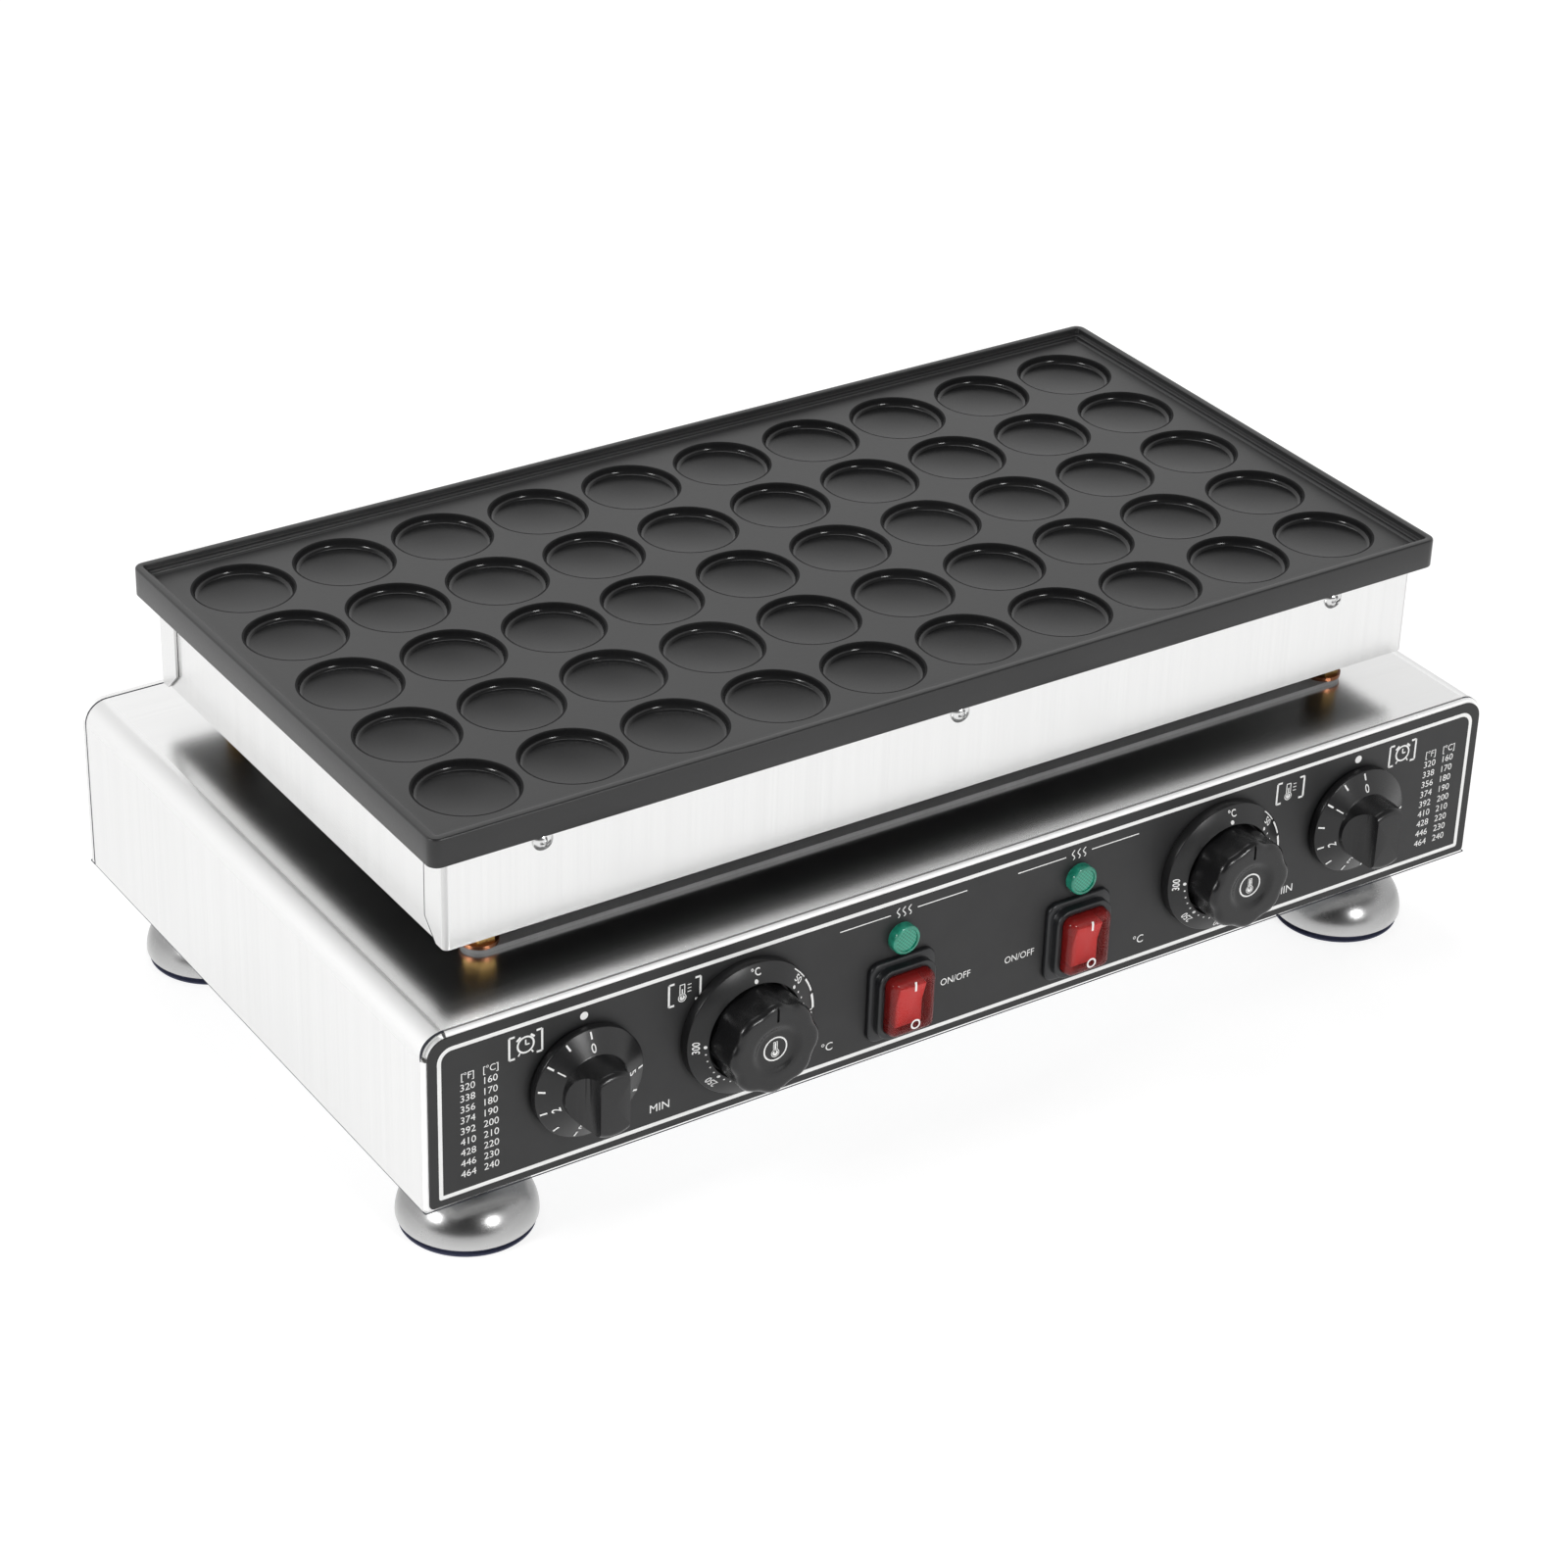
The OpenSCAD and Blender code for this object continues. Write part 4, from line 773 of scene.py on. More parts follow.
def makeDialRing(side, spec):
    node = "thermostat_ring_" + side
    r, edge, mouth, top, floor, hole = [spec[key] for key in ("outer", "edge", "mouth", "mouthTop", "floor", "hole")]
    profile = [(hole, 0), (r - 0.3, 0), (r, 0.3), (r, edge - 0.35), (r - 0.12, edge - 0.1), (r - 0.4, edge + 0.12)]
    profile += [(mouth + 0.6, top - 0.22), (mouth + 0.2, top - 0.12), (mouth, top - 0.4)]
    profile += [(mouth, floor + 0.4), (mouth - 0.4, floor), (hole, floor), (hole, 0)]
    ring = turned("dialRing." + side, profile, onPanel(node), steps=112)
    dress(ring, "dialPlastic", "base", [node])


def knobFace(spec, r):
    inner, outer = spec["dishEdge"]
    t = min(max((r - inner) / (outer - inner), 0.0), 1.0)
    return spec["reach"] - spec["dish"] * (1 - t * t * (3 - 2 * t))


def makeScallopKnob(side, spec):
    place = onPanel("thermostat_ring_" + side)
    steps, back, reach, edge = spec["steps"], spec["back"], spec["reach"], spec["edge"]

    def lobeLoop(inset, height, share=1):
        points = []
        for i in range(steps):
            a = 2 * math.pi * i / steps
            hollow = (0.5 - 0.5 * math.cos(spec["lobes"] * (a - math.pi / 2))) ** spec["hollowPower"]
            r = spec["radius"] - inset - spec["hollow"] * hollow * share
            points.append((r * math.cos(a), r * math.sin(a), height))
        return points

    faceRadius, faceShare = spec["faceEdge"]
    loops = [circleLoop(0, back, steps), lobeLoop(0.5, back), lobeLoop(0, back + 0.5)]
    loops.append(lobeLoop(0, reach - edge - spec["wallDrop"]))
    loops += [lobeLoop(-x, y) for x, y in arcPoints(-edge, reach - edge, edge, 0, 90, 6)]
    loops.append(lobeLoop(spec["radius"] - faceRadius, reach, faceShare))
    loops += [circleLoop(x, knobFace(spec, x), steps) for x in range(spec["faceRings"], -1, -1)]
    knob = solidPiece("scallopKnob." + side, *skin(loops), place, angle=40)
    width, length, deep = spec["groove"]
    grooveLoops = [cornerLoop(width, length, 0.4, h, 3) for h in (reach - deep, reach + 2)]
    groovePlace = place @ Matrix.Translation((0, spec["radius"] - spec["grooveInset"], 0))
    cutter = lofted("groove", grooveLoops, groovePlace)
    cutAway(knob, cutter)
    settle(knob, angle=40)
    discard(cutter)
    dress(knob, "knobPlastic", "thermostat_" + side, ["thermostat_knob_" + side])


for sideName in bothSides:
    makeDialRing(sideName, dialRing)
    makeScallopKnob(sideName, scallopKnob)
print("thermostat dials made")

# rocker switch: flanged frame, clear red boot, rocker below it
switchFrame = {
    "flange": (34.0, 40.0, 5.0),
    "bodyGrow": 1.6,
    "bodyCorner": 0.8,
    "slip": 0.2,
    "collarWall": 2.8,
    "flangeSteps": [(-0.6, 0.0), (0.0, 0.3), (0.0, 1.4), (-0.3, 1.9), (-0.9, 2.3), (-1.8, 2.5)],
    "collarSteps": [(1.0, 2.5), (0.3, 2.6), (0.0, 2.95), (0.0, 5.7), (-0.2, 6.2), (-0.7, 6.45), (-1.4, 6.5)],
    "mouthSteps": [(0.8, 6.5), (0.2, 6.35), (0.0, 6.0), (0.0, 3.0)],
    "pocket": (0.6, 2.5, 0.5, 8.0),
}
redBoot = {"width": 23.5, "height": 29.0, "seat": 3.0, "reach": 12.5, "round": 4.0, "wall": 1.2}
redRocker = {"width": 14.0, "height": 21.5, "axis": 0.5, "face": 8.0, "back": -4.0, "tilt": 8.0, "edgeRound": 0.6}


def makeSwitchFrame(side, spec, boot, rocker):
    node = "switch_housing_" + side
    back = (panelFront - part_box(node)[1].y) / mm
    body = (boot["width"] + spec["bodyGrow"], boot["height"] + spec["bodyGrow"], spec["bodyCorner"])
    slip, wall = spec["slip"], spec["collarWall"]
    mouth = (boot["width"] + 2 * slip, boot["height"] + 2 * slip, boot["round"] + slip)
    collar = (mouth[0] + 2 * wall, mouth[1] + 2 * wall, mouth[2] + wall)
    sections = [(*body, back), (*body, -0.02)]
    for size, key in ((spec["flange"], "flangeSteps"), (collar, "collarSteps"), (mouth, "mouthSteps")):
        sections += [(size[0] + grow, size[1] + grow, size[2] + grow / 2, level) for grow, level in spec[key]]
    sideRoom, endRoom, corner, deep = spec["pocket"]
    low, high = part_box("rocker_" + side)
    pocket = ((high.x - low.x) / mm + sideRoom, rocker["height"] + endRoom, corner)
    sections += [(*pocket, boot["seat"]), (*pocket, back + deep)]
    part = lofted("switchFrame." + side, [cornerLoop(*section) for section in sections], onPanel(node), angle=40)
    dress(part, "framePlastic", "base", [node])


def bootLoops(spec, wall):
    width, height, r = spec["width"] - 2 * wall, spec["height"] - 2 * wall, spec["round"] - wall
    start, bend = spec["seat"], spec["reach"] - wall - r
    loops = [cornerLoop(width, height, r, level) for level in (start, (start + bend) / 2)]
    for x, y in arcPoints(0, 0, r, 0, 90, 7):
        inset = r - x
        loops.append(cornerLoop(width - 2 * inset, height - 2 * inset, r - inset, bend + y))
    return loops


def makeBoot(side, spec):
    node = "switch_boot_" + side
    centre = middle(node)
    loops = list(reversed(bootLoops(spec, spec["wall"]))) + bootLoops(spec, 0.0)
    part = lofted("redBoot." + side, loops, onPanel(node), angle=50)
    share = part.data.attributes.new("edgeShare", "FLOAT", "POINT")
    flatX, flatZ = [(spec[key] / 2 - spec["round"]) * mm for key in ("width", "height")]
    for i, vertex in enumerate(part.data.vertices):
        beyond = max(abs(vertex.co.x - centre.x) - flatX, abs(vertex.co.z - centre.z) - flatZ, 0.0)
        share.data[i].value = min(1.0, beyond / (spec["round"] * mm))
    dress(part, "clearBoot", "base", [node])


def makeRocker(side, spec):
    tilt, half, back, face = math.radians(spec["tilt"]), spec["height"] / 2, spec["back"], spec["face"] - spec["axis"]
    end = face + half * math.tan(tilt)
    outline = [(-half, 0), (-half / 2, back), (half / 2, back), (half, 0), (half, end), (0, face), (-half, end)]
    loops = [[(x, y, z) for y, z in outline] for x in (-spec["width"] / 2, spec["width"] / 2)]
    pivot = Matrix.Translation((0, 0, spec["axis"])) @ Matrix.Rotation(tilt, 4, "X")
    part = lofted("redRocker." + side, loops, onPanel("switch_housing_" + side) @ pivot, angle=30)
    softEdges(part, spec["edgeRound"], segments=3, angle=25)
    settle(part, angle=40)
    dress(part, "rockerRed", "rocker_" + side, ["rocker_" + side])


for sideName in bothSides:
    makeSwitchFrame(sideName, switchFrame, redBoot, redRocker)
    makeBoot(sideName, redBoot)
    makeRocker(sideName, redRocker)
print("switches made")

# indicator lens: stepped bezel round a ribbed face
lampLens = {"radius": 7.0, "round": 1.0, "face": 5.4, "reach": 4.5, "sunk": 0.6, "crown": 0.25, "stem": 4.8}


def makeLens(side, spec):
    node = "lamp_lens_" + side
    centre = middle(node)
    back = (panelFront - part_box(node)[1].y) / mm
    r, bend, face, reach, stem = [spec[key] for key in ("radius", "round", "face", "reach", "stem")]
    floor = reach - spec["sunk"]
    profile = [(0, back), (stem, back), (stem, -0.02), (r, 0.0)]
    profile += arcPoints(r - bend, reach - bend, bend, 0, 90, 5)
    profile += [(face + 0.15, reach), (face, reach - 0.15), (face, floor), (0, floor + spec["crown"])]
    lens = turned("lampLens." + side, profile, onPanel(node), steps=64)
    dress(lens, ("lensRim", "lensFace"), "base", [node])
    for polygon in lens.data.polygons:
        offset = math.hypot(polygon.center.x - centre.x, polygon.center.z - centre.z)
        inFront = polygon.center.y < panelFront - (reach - bend) * mm
        polygon.material_index = 1 if inFront and offset < (face - 0.05) * mm else 0


for sideName in bothSides:
    makeLens(sideName, lampLens)
print("lamps made")

# feet: polished domes with a neck, open below for the rubber pad
domeFoot = {
    "radius": 30.8,
    "shoulder": 20.0,
    "shoulderTurn": 84,
    "edge": 1.3,
    "lift": 0.9,
    "neck": 12.0,
    "flange": (15.0, 2.0),
    "pad": (27.7, 2.0),
}
footPad = [(0, 1.9), (27.4, 1.9), (27.4, 0.95), (29.2, 0.85), (29.5, 0.6), (29.5, 0.25), (29.3, 0.0), (0, 0)]
footCorners = ("front_left", "front_right", "rear_left", "rear_right")


def makeFoot(corner, spec):
    node = "foot_" + corner
    low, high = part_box(node)
    centre, top = middle(node), (high.z - low.z) / mm
    r, shoulder, edge, lift, neck = [spec[key] for key in ("radius", "shoulder", "edge", "lift", "neck")]
    pad, padSeat = spec["pad"]
    flange, flangeTall = spec["flange"]
    profile = [(0, padSeat), (pad, padSeat), (pad, lift + 0.15), (pad + 0.15, lift)]
    profile += arcPoints(r - edge + lift, edge, edge - lift, -90, 0, 6)
    profile += arcPoints(r - shoulder, edge, shoulder, 0, spec["shoulderTurn"], 24)[1:]
    profile += [(neck + 0.5, edge + shoulder + 0.1), (neck, edge + shoulder + 0.7), (neck, top - flangeTall)]
    profile += [(flange, top - flangeTall), (flange, top), (0, top)]
    place = Matrix.Translation((centre.x, centre.y, low.z)) @ worldPlace
    foot = turned("domeFoot." + corner, profile, place, steps=112, angle=40)
    dress(foot, "polishedFeet", "base", [node])


def makeFootPads(profile):
    pad = turned("footPad", profile, worldPlace, steps=96)
    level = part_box("foot_pads")[0].z
    centres = [middle("foot_" + corner) for corner in footCorners]
    pads = copiesAt("footPads", pad, [(c.x, c.y, level) for c in centres], (0.0, 0.0, 0.0), "padBlue")
    discard(pad)
    dress(pads, "padBlue", "base", ["foot_pads"])


for cornerName in footCorners:
    makeFoot(cornerName, domeFoot)
makeFootPads(footPad)
print("feet made")

# bands round the base where the shell meets its two end pans: steel in front, a dark joint behind
baseBands = {
    "frontBand": {"middle": -156.4, "width": 3.6, "proud": 0.03, "finish": "steelAcrossY", "slot": "stainless"},
    "rearJoint": {"middle": 156.2, "width": 0.9, "proud": 0.04, "finish": "padRubber", "slot": "rubber_black"},
}
shellEdge = {"corner": 11.0, "lowCorner": 0.6, "leastCorner": 0.2, "deep": 0.9, "steps": 24, "sideSteps": (90, 14)}


def makeBand(name, spec, shell):
    low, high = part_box("base_shell")
    wide, tall = [(high[axis] - low[axis]) / mm + 2 * spec["proud"] for axis in (0, 2)]
    radii = (shell["lowCorner"], shell["corner"], shell["corner"], shell["lowCorner"])
    loops = []
    for inset, across in ((shell["deep"], -0.5), (0.0, -0.5), (0.0, 0.5), (shell["deep"], 0.5)):
        rounds = [max(r - inset, shell["leastCorner"]) for r in radii]
        size = (wide - 2 * inset, tall - 2 * inset)
        loops.append(cornerLoop(*size, rounds, across * spec["width"], shell["steps"], shell["sideSteps"]))
    centre = middle("base_shell")
    upright = Matrix.Rotation(math.pi / 2, 4, "X") @ worldPlace
    place = Matrix.Translation((centre.x, spec["middle"] * mm, centre.z)) @ upright
    dress(solidPiece(name, *skin(loops + [loops[0]]), place), spec["finish"], "base")


# the front joint itself: a thin line along the top that opens to a dark gap at each upper corner
frontSeam = {"front": -158.4, "line": 1.0, "gap": 1.7, "least": 0.02, "proud": 0.05, "deep": 0.4}


def makeFrontSeam(spec, shell):
    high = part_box("base_shell")[1]
    r, line, steps = shell["corner"], spec["line"], shell["steps"]
    sideX, top = high.x / mm - r, high.z / mm - r

    def ringAt(way, angle, wide):
        c, s = math.cos(angle) * way, math.sin(angle)
        inner, outer = r - spec["deep"], r + spec["proud"]
        corners = [(inner, 0), (outer, 0), (outer, wide), (inner, wide)]
        return [(way * sideX + c * out, spec["front"] + y, top + s * out) for out, y in corners]

    ends = [ringAt(way, math.pi / 2, line) for way in (-1, 1)]
    dress(lofted("seamLine", ends, worldPlace), "railGrey", "base")
    gaps = []
    for way in (-1, 1):
        loops = []
        for share in [k / steps for k in range(steps + 1)]:
            wide = line * share + spec["gap"] * math.sin(math.pi * share) * (1 - share) + spec["least"]
            loops.append(ringAt(way, share * math.pi / 2, wide))
        gaps.append(skin(loops, True, True))
    dress(solidPiece("cornerGaps", *joined(gaps), worldPlace), "padRubber", "base")


# painted shadow: a dark line along the lower edge of the base, all the way round
lowEdge = {"tall": 0.35, "proud": 0.03, "deep": 0.3, "corner": 0.5}


def makeLowEdge(spec):
    low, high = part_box("front_plate")[0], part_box("rear_plate")[1]
    wide, deep = (high.x - low.x) / mm, (high.y - low.y) / mm
    inner, outer, top = -spec["deep"], spec["proud"], spec["tall"]
    loops = []
    for grow, level in ((inner, 0.0), (outer, 0.0), (outer, top), (inner, top)):
        loops.append(cornerLoop(wide + 2 * grow, deep + 2 * grow, spec["corner"], level, 3))
    place = Matrix.Translation(((low.x + high.x) / 2, (low.y + high.y) / 2, low.z)) @ worldPlace
    dress(solidPiece("lowEdge", *skin(loops + [loops[0]]), place), "padRubber", "base")


for bandName, band in baseBands.items():
    makeBand(bandName, band, shellEdge)
makeFrontSeam(frontSeam, shellEdge)
makeLowEdge(lowEdge)
print("joint lines made")

# dark seam along the free edge of each tab that folds onto the sides of the box
tabSeam = {"tab": 16.0, "cut": 9.0, "width": 0.5, "proud": 0.03, "deep": 0.3}


def makeTabSeams(spec):
    low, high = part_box("box_front")
    tall, tab, cut, wide = (high.z - low.z) / mm, spec["tab"], spec["cut"], spec["width"]
    slant = math.sqrt(0.5)
    edge = [(tab, tall, 1.0, 0.0), (tab, cut, 1.0, 1.0 - math.sqrt(2)), (tab - cut, 0.0, slant, -slant)]
    inner, outer = -spec["deep"], spec["proud"]
    seams = []
    for way, x in ((-1, low.x), (1, high.x)):
        loops = []
        for along, up, outAlong, outUp in edge:
            near, far = (along, up), (along + outAlong * wide, up + outUp * wide)
            corners = [(near, inner), (far, inner), (far, outer), (near, outer)]
            loops.append([(x / mm + way * out, low.y / mm + a, low.z / mm + u) for (a, u), out in corners])
        seams.append(skin(loops, True, True))
    dress(solidPiece("tabSeams", *joined(seams), worldPlace), "padRubber", "base")


makeTabSeams(tabSeam)
print("tab seams made")

# pan head screws along the box
boxScrew = {
    "head": 9.5,
    "height": 3.04,
    "flat": 1.15,
    "rim": (-0.4, 0.55),
    "rings": (0.97, 0.9, 0.78, 0.6, 0.4, 0.2, 0.0),
    "cross": (5.2, 1.3),
    "crossCorner": 0.3,
    "deep": 1.7,
    "edgeRound": 0.12,
    "spread": 207.0,
    "drop": 5.6,
}


def makeBoxScrews(spec):
    r, h = spec["head"] / 2, spec["height"]
    ball = (r ** 2 * spec["flat"] + h ** 2) / (2 * h)
    back, rim = spec["rim"]
    profile = [(0, back), (r, back), (r, rim)]
    profile += [(r * share, h - ball + math.sqrt(ball ** 2 - (r * share) ** 2)) for share in spec["rings"]]
    head = turned("screwHead", profile, worldPlace, steps=40, angle=40)
    cutters = []
    for size in (spec["cross"], spec["cross"][::-1]):
        loops = [cornerLoop(*size, spec["crossCorner"], z, 2) for z in (h - spec["deep"], h + 1)]
        cutters.append(lofted("crossCut", loops, worldPlace))
        cutAway(head, cutters[-1])
    softEdges(head, spec["edgeRound"], segments=2, angle=40)
    settle(head, angle=35)
    discard(*cutters)
    low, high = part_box("box_front")
    level = high.z - spec["drop"] * mm
    places = [x * mm for x in (-spec["spread"], 0, spec["spread"])]
    form = bmesh.new()
    for y, turn in ((low.y, math.pi / 2), (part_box("box_rear")[1].y, -math.pi / 2)):
        row = copiesAt("screwRow", head, [(x, y, level) for x in places], (turn, 0.0, 0.0), "screwSteel")
        form.from_mesh(row.data)
        discard(row)
    discard(head)
    mesh = bpy.data.meshes.new("boxScrews")
    form.to_mesh(mesh)
    form.free()
    shadeByAngle(mesh, 35)
    dress(newObject("boxScrews", mesh), "screwSteel", "base", ["box_screws"])


makeBoxScrews(boxScrew)
print("box screws made")

# printing ink: flat shapes in panel millimetres, laid on a plane, a cone or a rounded face
inkLift = 0.06
inkFont = {"tall": 0.73, "bracketTall": 0.95, "midline": 0.365}
marksTree = dialTree()


class inkSheet:
    def __init__(self):
        self.verts = []
        self.faces = []
        self.origin = (0.0, 0.0)

    def shape(self, points):
        area = sum(a[0] * b[1] - b[0] * a[1] for a, b in zip(points, points[1:] + points[:1]))
        ordered = points if area > 0 else list(reversed(points))
        start = len(self.verts)
        self.verts += [(x + self.origin[0], y + self.origin[1]) for x, y in ordered]
        self.faces.append(tuple(range(start, start + len(ordered))))

    def bar(self, x0, y0, x1, y1, width):
        along = Vector((x1 - x0, y1 - y0)).normalized()
        sx, sy = -along.y * width / 2, along.x * width / 2
        self.shape([(x0 + sx, y0 + sy), (x0 - sx, y0 - sy), (x1 - sx, y1 - sy), (x1 + sx, y1 + sy)])

    def path(self, points, width):
        for a, b in zip(points, points[1:]):
            self.bar(*a, *b, width)

    def disc(self, x, y, radius, steps=24):
        self.shape([(x + px, y + py) for px, py, pz in circleLoop(radius, 0, steps)])

    def band(self, outer, inner):
        for i in range(len(outer)):
            j = (i + 1) % len(outer)
            self.shape([outer[i], outer[j], inner[j], inner[i]])

    def ring(self, x, y, outer, inner, steps=40):
        self.band(*[[(x + px, y + py) for px, py, pz in circleLoop(r, 0, steps)] for r in (outer, inner)])

    def arc(self, inner, outer, start, end, steps):
        # degrees clockwise from the top
        turns = [math.radians(start + (end - start) * i / steps) for i in range(steps + 1)]
        for a, b in zip(turns, turns[1:]):
            corners = ((a, inner), (a, outer), (b, outer), (b, inner))
            self.shape([(math.sin(t) * r, math.cos(t) * r) for t, r in corners])

    def draw(self, art, x, y):
        makers = {"bar": self.bar, "path": self.path, "ring": self.ring, "disc": self.disc}
        self.origin = (x, y)
        for kind, *numbers in art:
            makers[kind](*numbers)
        self.origin = (0.0, 0.0)

    def words(self, text, height, x, y, turn=0.0, squeeze=1.0, weight=0.0):
        curve = bpy.data.curves.new("words", "FONT")
        curve.body = text
        curve.size = 1.0
        curve.offset = weight
        curve.resolution_u = 3
        holder = newObject("words", curve)
        graph = bpy.context.evaluated_depsgraph_get()
        mesh = bpy.data.meshes.new_from_object(holder.evaluated_get(graph))
        discard(holder)
        xs = [v.co.x for v in mesh.vertices]
        centre = (min(xs) + max(xs)) / 2
        scale = height / inkFont["bracketTall" if text.startswith("[") else "tall"]
        c, s = math.cos(turn), math.sin(turn)
        spots = []
        for v in mesh.vertices:
            px, py = (v.co.x - centre) * scale * squeeze, (v.co.y - inkFont["midline"]) * scale
            spots.append((x + px * c - py * s, y + px * s + py * c))
        for polygon in mesh.polygons:
            self.shape([spots[i] for i in polygon.vertices])
        bpy.data.meshes.remove(mesh)

    def numbersRound(self, numbers, first, step, radius, height):
        # degrees clockwise from the top
        for k, number in enumerate(numbers):
            turn = math.radians(first + step * k)
            self.words(str(number), height, math.sin(turn) * radius, math.cos(turn) * radius, -turn, 0.92, 0.012)

    def marks(self, spec):
        # repeated dial marks from the node tree: a bar or dot at each step
        sheet = inkSheet()
        if "dot" in spec:
            sheet.disc(0, 0, spec["dot"], 10)
        else:
            sheet.bar(0, -spec["long"] / 2, 0, spec["long"] / 2, spec["wide"])
        stamp = newObject("stamp", sheet.flatMesh("stamp", Matrix.Identity(4)))
        row = runTree("markRow", marksTree, {
            "Mark": stamp, "Count": spec["count"], "Start": math.radians(spec["start"]),
            "Step": math.radians(spec["step"]), "Radius": spec["radius"], "Finish": finishes["printInk"]})
        for polygon in row.data.polygons:
            self.shape([tuple(row.data.vertices[i].co[:2]) for i in polygon.vertices])
        discard(stamp, row)

    def flatMesh(self, name, place, rise=None):
        mesh = bpy.data.meshes.new(name)
        points = [place @ Vector((x, y, rise(x, y) if rise else 0.0)) for x, y in self.verts]
        mesh.from_pydata(points, [], self.faces)
        return mesh

    def lay(self, name, place, body, rise=None):
        dress(newObject(name, self.flatMesh(name, place, rise)), "printInk", body)


def coneRise(outer, edge, inner, top):
    slope = (top - edge) / (outer - inner)
    return lambda x, y: edge + (outer - math.hypot(x, y)) * slope + 2 * inkLift


def mirrored(*bars):
    return [("bar", -x0, y0, -x1, y1, width) for x0, y0, x1, y1, width in bars] + [("bar", *bar) for bar in bars]


# timer scale: minutes anticlockwise round the cone
timerScale = {"step": 54.0, "numbers": 6, "numberRadius": 18.9, "tick": (22.3, 25.2, 0.85), "height": 3.9}


def makeTimerScale(side, spec, cone):
    sheet = inkSheet()
    inner, outer, wide = spec["tick"]
    sheet.marks({"long": outer - inner, "wide": wide, "radius": (inner + outer) / 2,
                 "count": spec["numbers"] * 2 - 1, "start": 0.0, "step": -spec["step"] / 2})
    sheet.numbersRound(range(spec["numbers"]), 0.0, -spec["step"], spec["numberRadius"], spec["height"])
    rise = coneRise(cone["skirt"], cone["edge"], cone["grip"], cone["coneTop"])
    sheet.lay("timerScale." + side, onPanel("timer_knob_" + side), "timer_" + side, rise)


# thermostat scale: dots and degrees clockwise round the ring, and a rising heat band
heatScale = {
    "first": 51.0,
    "step": 43.8,
    "values": (50, 100, 150, 200, 250, 300),
    "parts": 5,
    "dotRadius": 24.6,
    "dots": {"zero": 0.95, "value": 0.8, "part": 0.42},
    "unit": ("°C", 0.6),
    "labelRadius": 28.5,
    "height": 3.3,
    "bandRadius": 31.15,
    "bands": ((42.0, 56.0, 0.5), (59.0, 73.0, 0.9), (76.0, 90.0, 1.35)),
}


def makeHeatScale(side, spec, ring):
    sheet = inkSheet()
    count, parts, step, dots = len(spec["values"]), spec["parts"], spec["step"], spec["dots"]
    unit, unitShift = spec["unit"]
    row = {"start": spec["first"], "radius": spec["dotRadius"]}
    sheet.disc(0, spec["dotRadius"], dots["zero"])
    sheet.words(unit, spec["height"], unitShift, spec["labelRadius"], 0.0, 0.95, 0.012)
    sheet.marks({**row, "dot": dots["part"], "count": (count - 1) * parts + 1, "step": step / parts})
    sheet.marks({**row, "dot": dots["value"], "count": count, "step": step})
    sheet.numbersRound(spec["values"], spec["first"], step, spec["labelRadius"], spec["height"])
    for start, end, wide in spec["bands"]:
        sheet.arc(spec["bandRadius"] - wide, spec["bandRadius"], start, end, 5)
    rise = coneRise(ring["outer"], ring["edge"], ring["mouth"], ring["mouthTop"])
    sheet.lay("heatScale." + side, onPanel("thermostat_ring_" + side), "base", rise)


# small round sign in the dish of the knob: a plain bulb and stem
knobSign = [("ring", 0, 0, 5.9, 5.2), ("disc", 0, -2.1, 1.35), ("ring", 0, -2.1, 2.0, 1.7)]
knobSign += [("bar", 0, -2.1, 0, 3.0, 0.8)] + mirrored((0.95, -0.6, 0.95, 3.3, 0.3))
knobSign += [("bar", -1.1, 3.4, 1.1, 3.4, 0.3)]


def makeKnobSign(side, art, knob):
    sheet = inkSheet()
    sheet.draw(art, 0.0, 0.0)
    place = onPanel("thermostat_ring_" + side)
    sheet.lay("knobSign." + side, place, "thermostat_" + side, lambda x, y: knobFace(knob, math.hypot(x, y)) + inkLift)


# a stroke above and a ring below, printed on the face of the boot and following its rounded end
bootMarks = [("path", [(0.0, 7.9 + 0.45 * k) for k in range(11)], 1.1), ("ring", 0.7, -9.2, 2.5, 1.65)]


def makeBootMarks(side, art, boot):
    sheet = inkSheet()
    sheet.draw(art, 0.0, 0.0)
    bend = boot["round"]
    flat, top = boot["height"] / 2 - bend, boot["reach"] - bend + inkLift
    place = onPanel("switch_boot_" + side)
    sheet.lay("bootMarks." + side, place, "base",
              lambda x, y: top + math.sqrt(bend ** 2 - max(abs(y) - flat, 0.0) ** 2))


for sideName in bothSides:
    makeTimerScale(sideName, timerScale, timerKnob)
    makeHeatScale(sideName, heatScale, dialRing)
    makeKnobSign(sideName, knobSign, scallopKnob)
    makeBootMarks(sideName, bootMarks, redBoot)
print("dials printed")

# plain signs of the panel, each about its own middle
bracketSign = mirrored((5.1, 5.3, 7.7, 5.3, 1.0), (7.7, 5.3, 7.7, -5.3, 1.0), (7.7, -5.3, 5.1, -5.3, 1.0))
clockSign = bracketSign + [("ring", 0, 0, 4.2, 3.35), ("path", [(0, 2.4), (0, 0), (1.8, 0)], 0.65)]
clockSign += mirrored((2.4, 4.3, 4.2, 2.7, 1.0), (2.7, -3.4, 3.5, -4.7, 0.7))
bulbSign = [("disc", 0, -2.6, 1.25), ("ring", 0, -2.6, 2.05, 1.65)] + mirrored((1.15, -1.0, 1.15, 3.6, 0.45))
bulbSign += [("bar", -1.3, 3.8, 1.3, 3.8, 0.45), ("bar", 0, -2.6, 0, 1.6, 0.6)]
bulbSign += [("bar", 2.6, y, 4.4, y, 0.4) for y in (3.0, 1.3, -0.4)]
waveSign = []
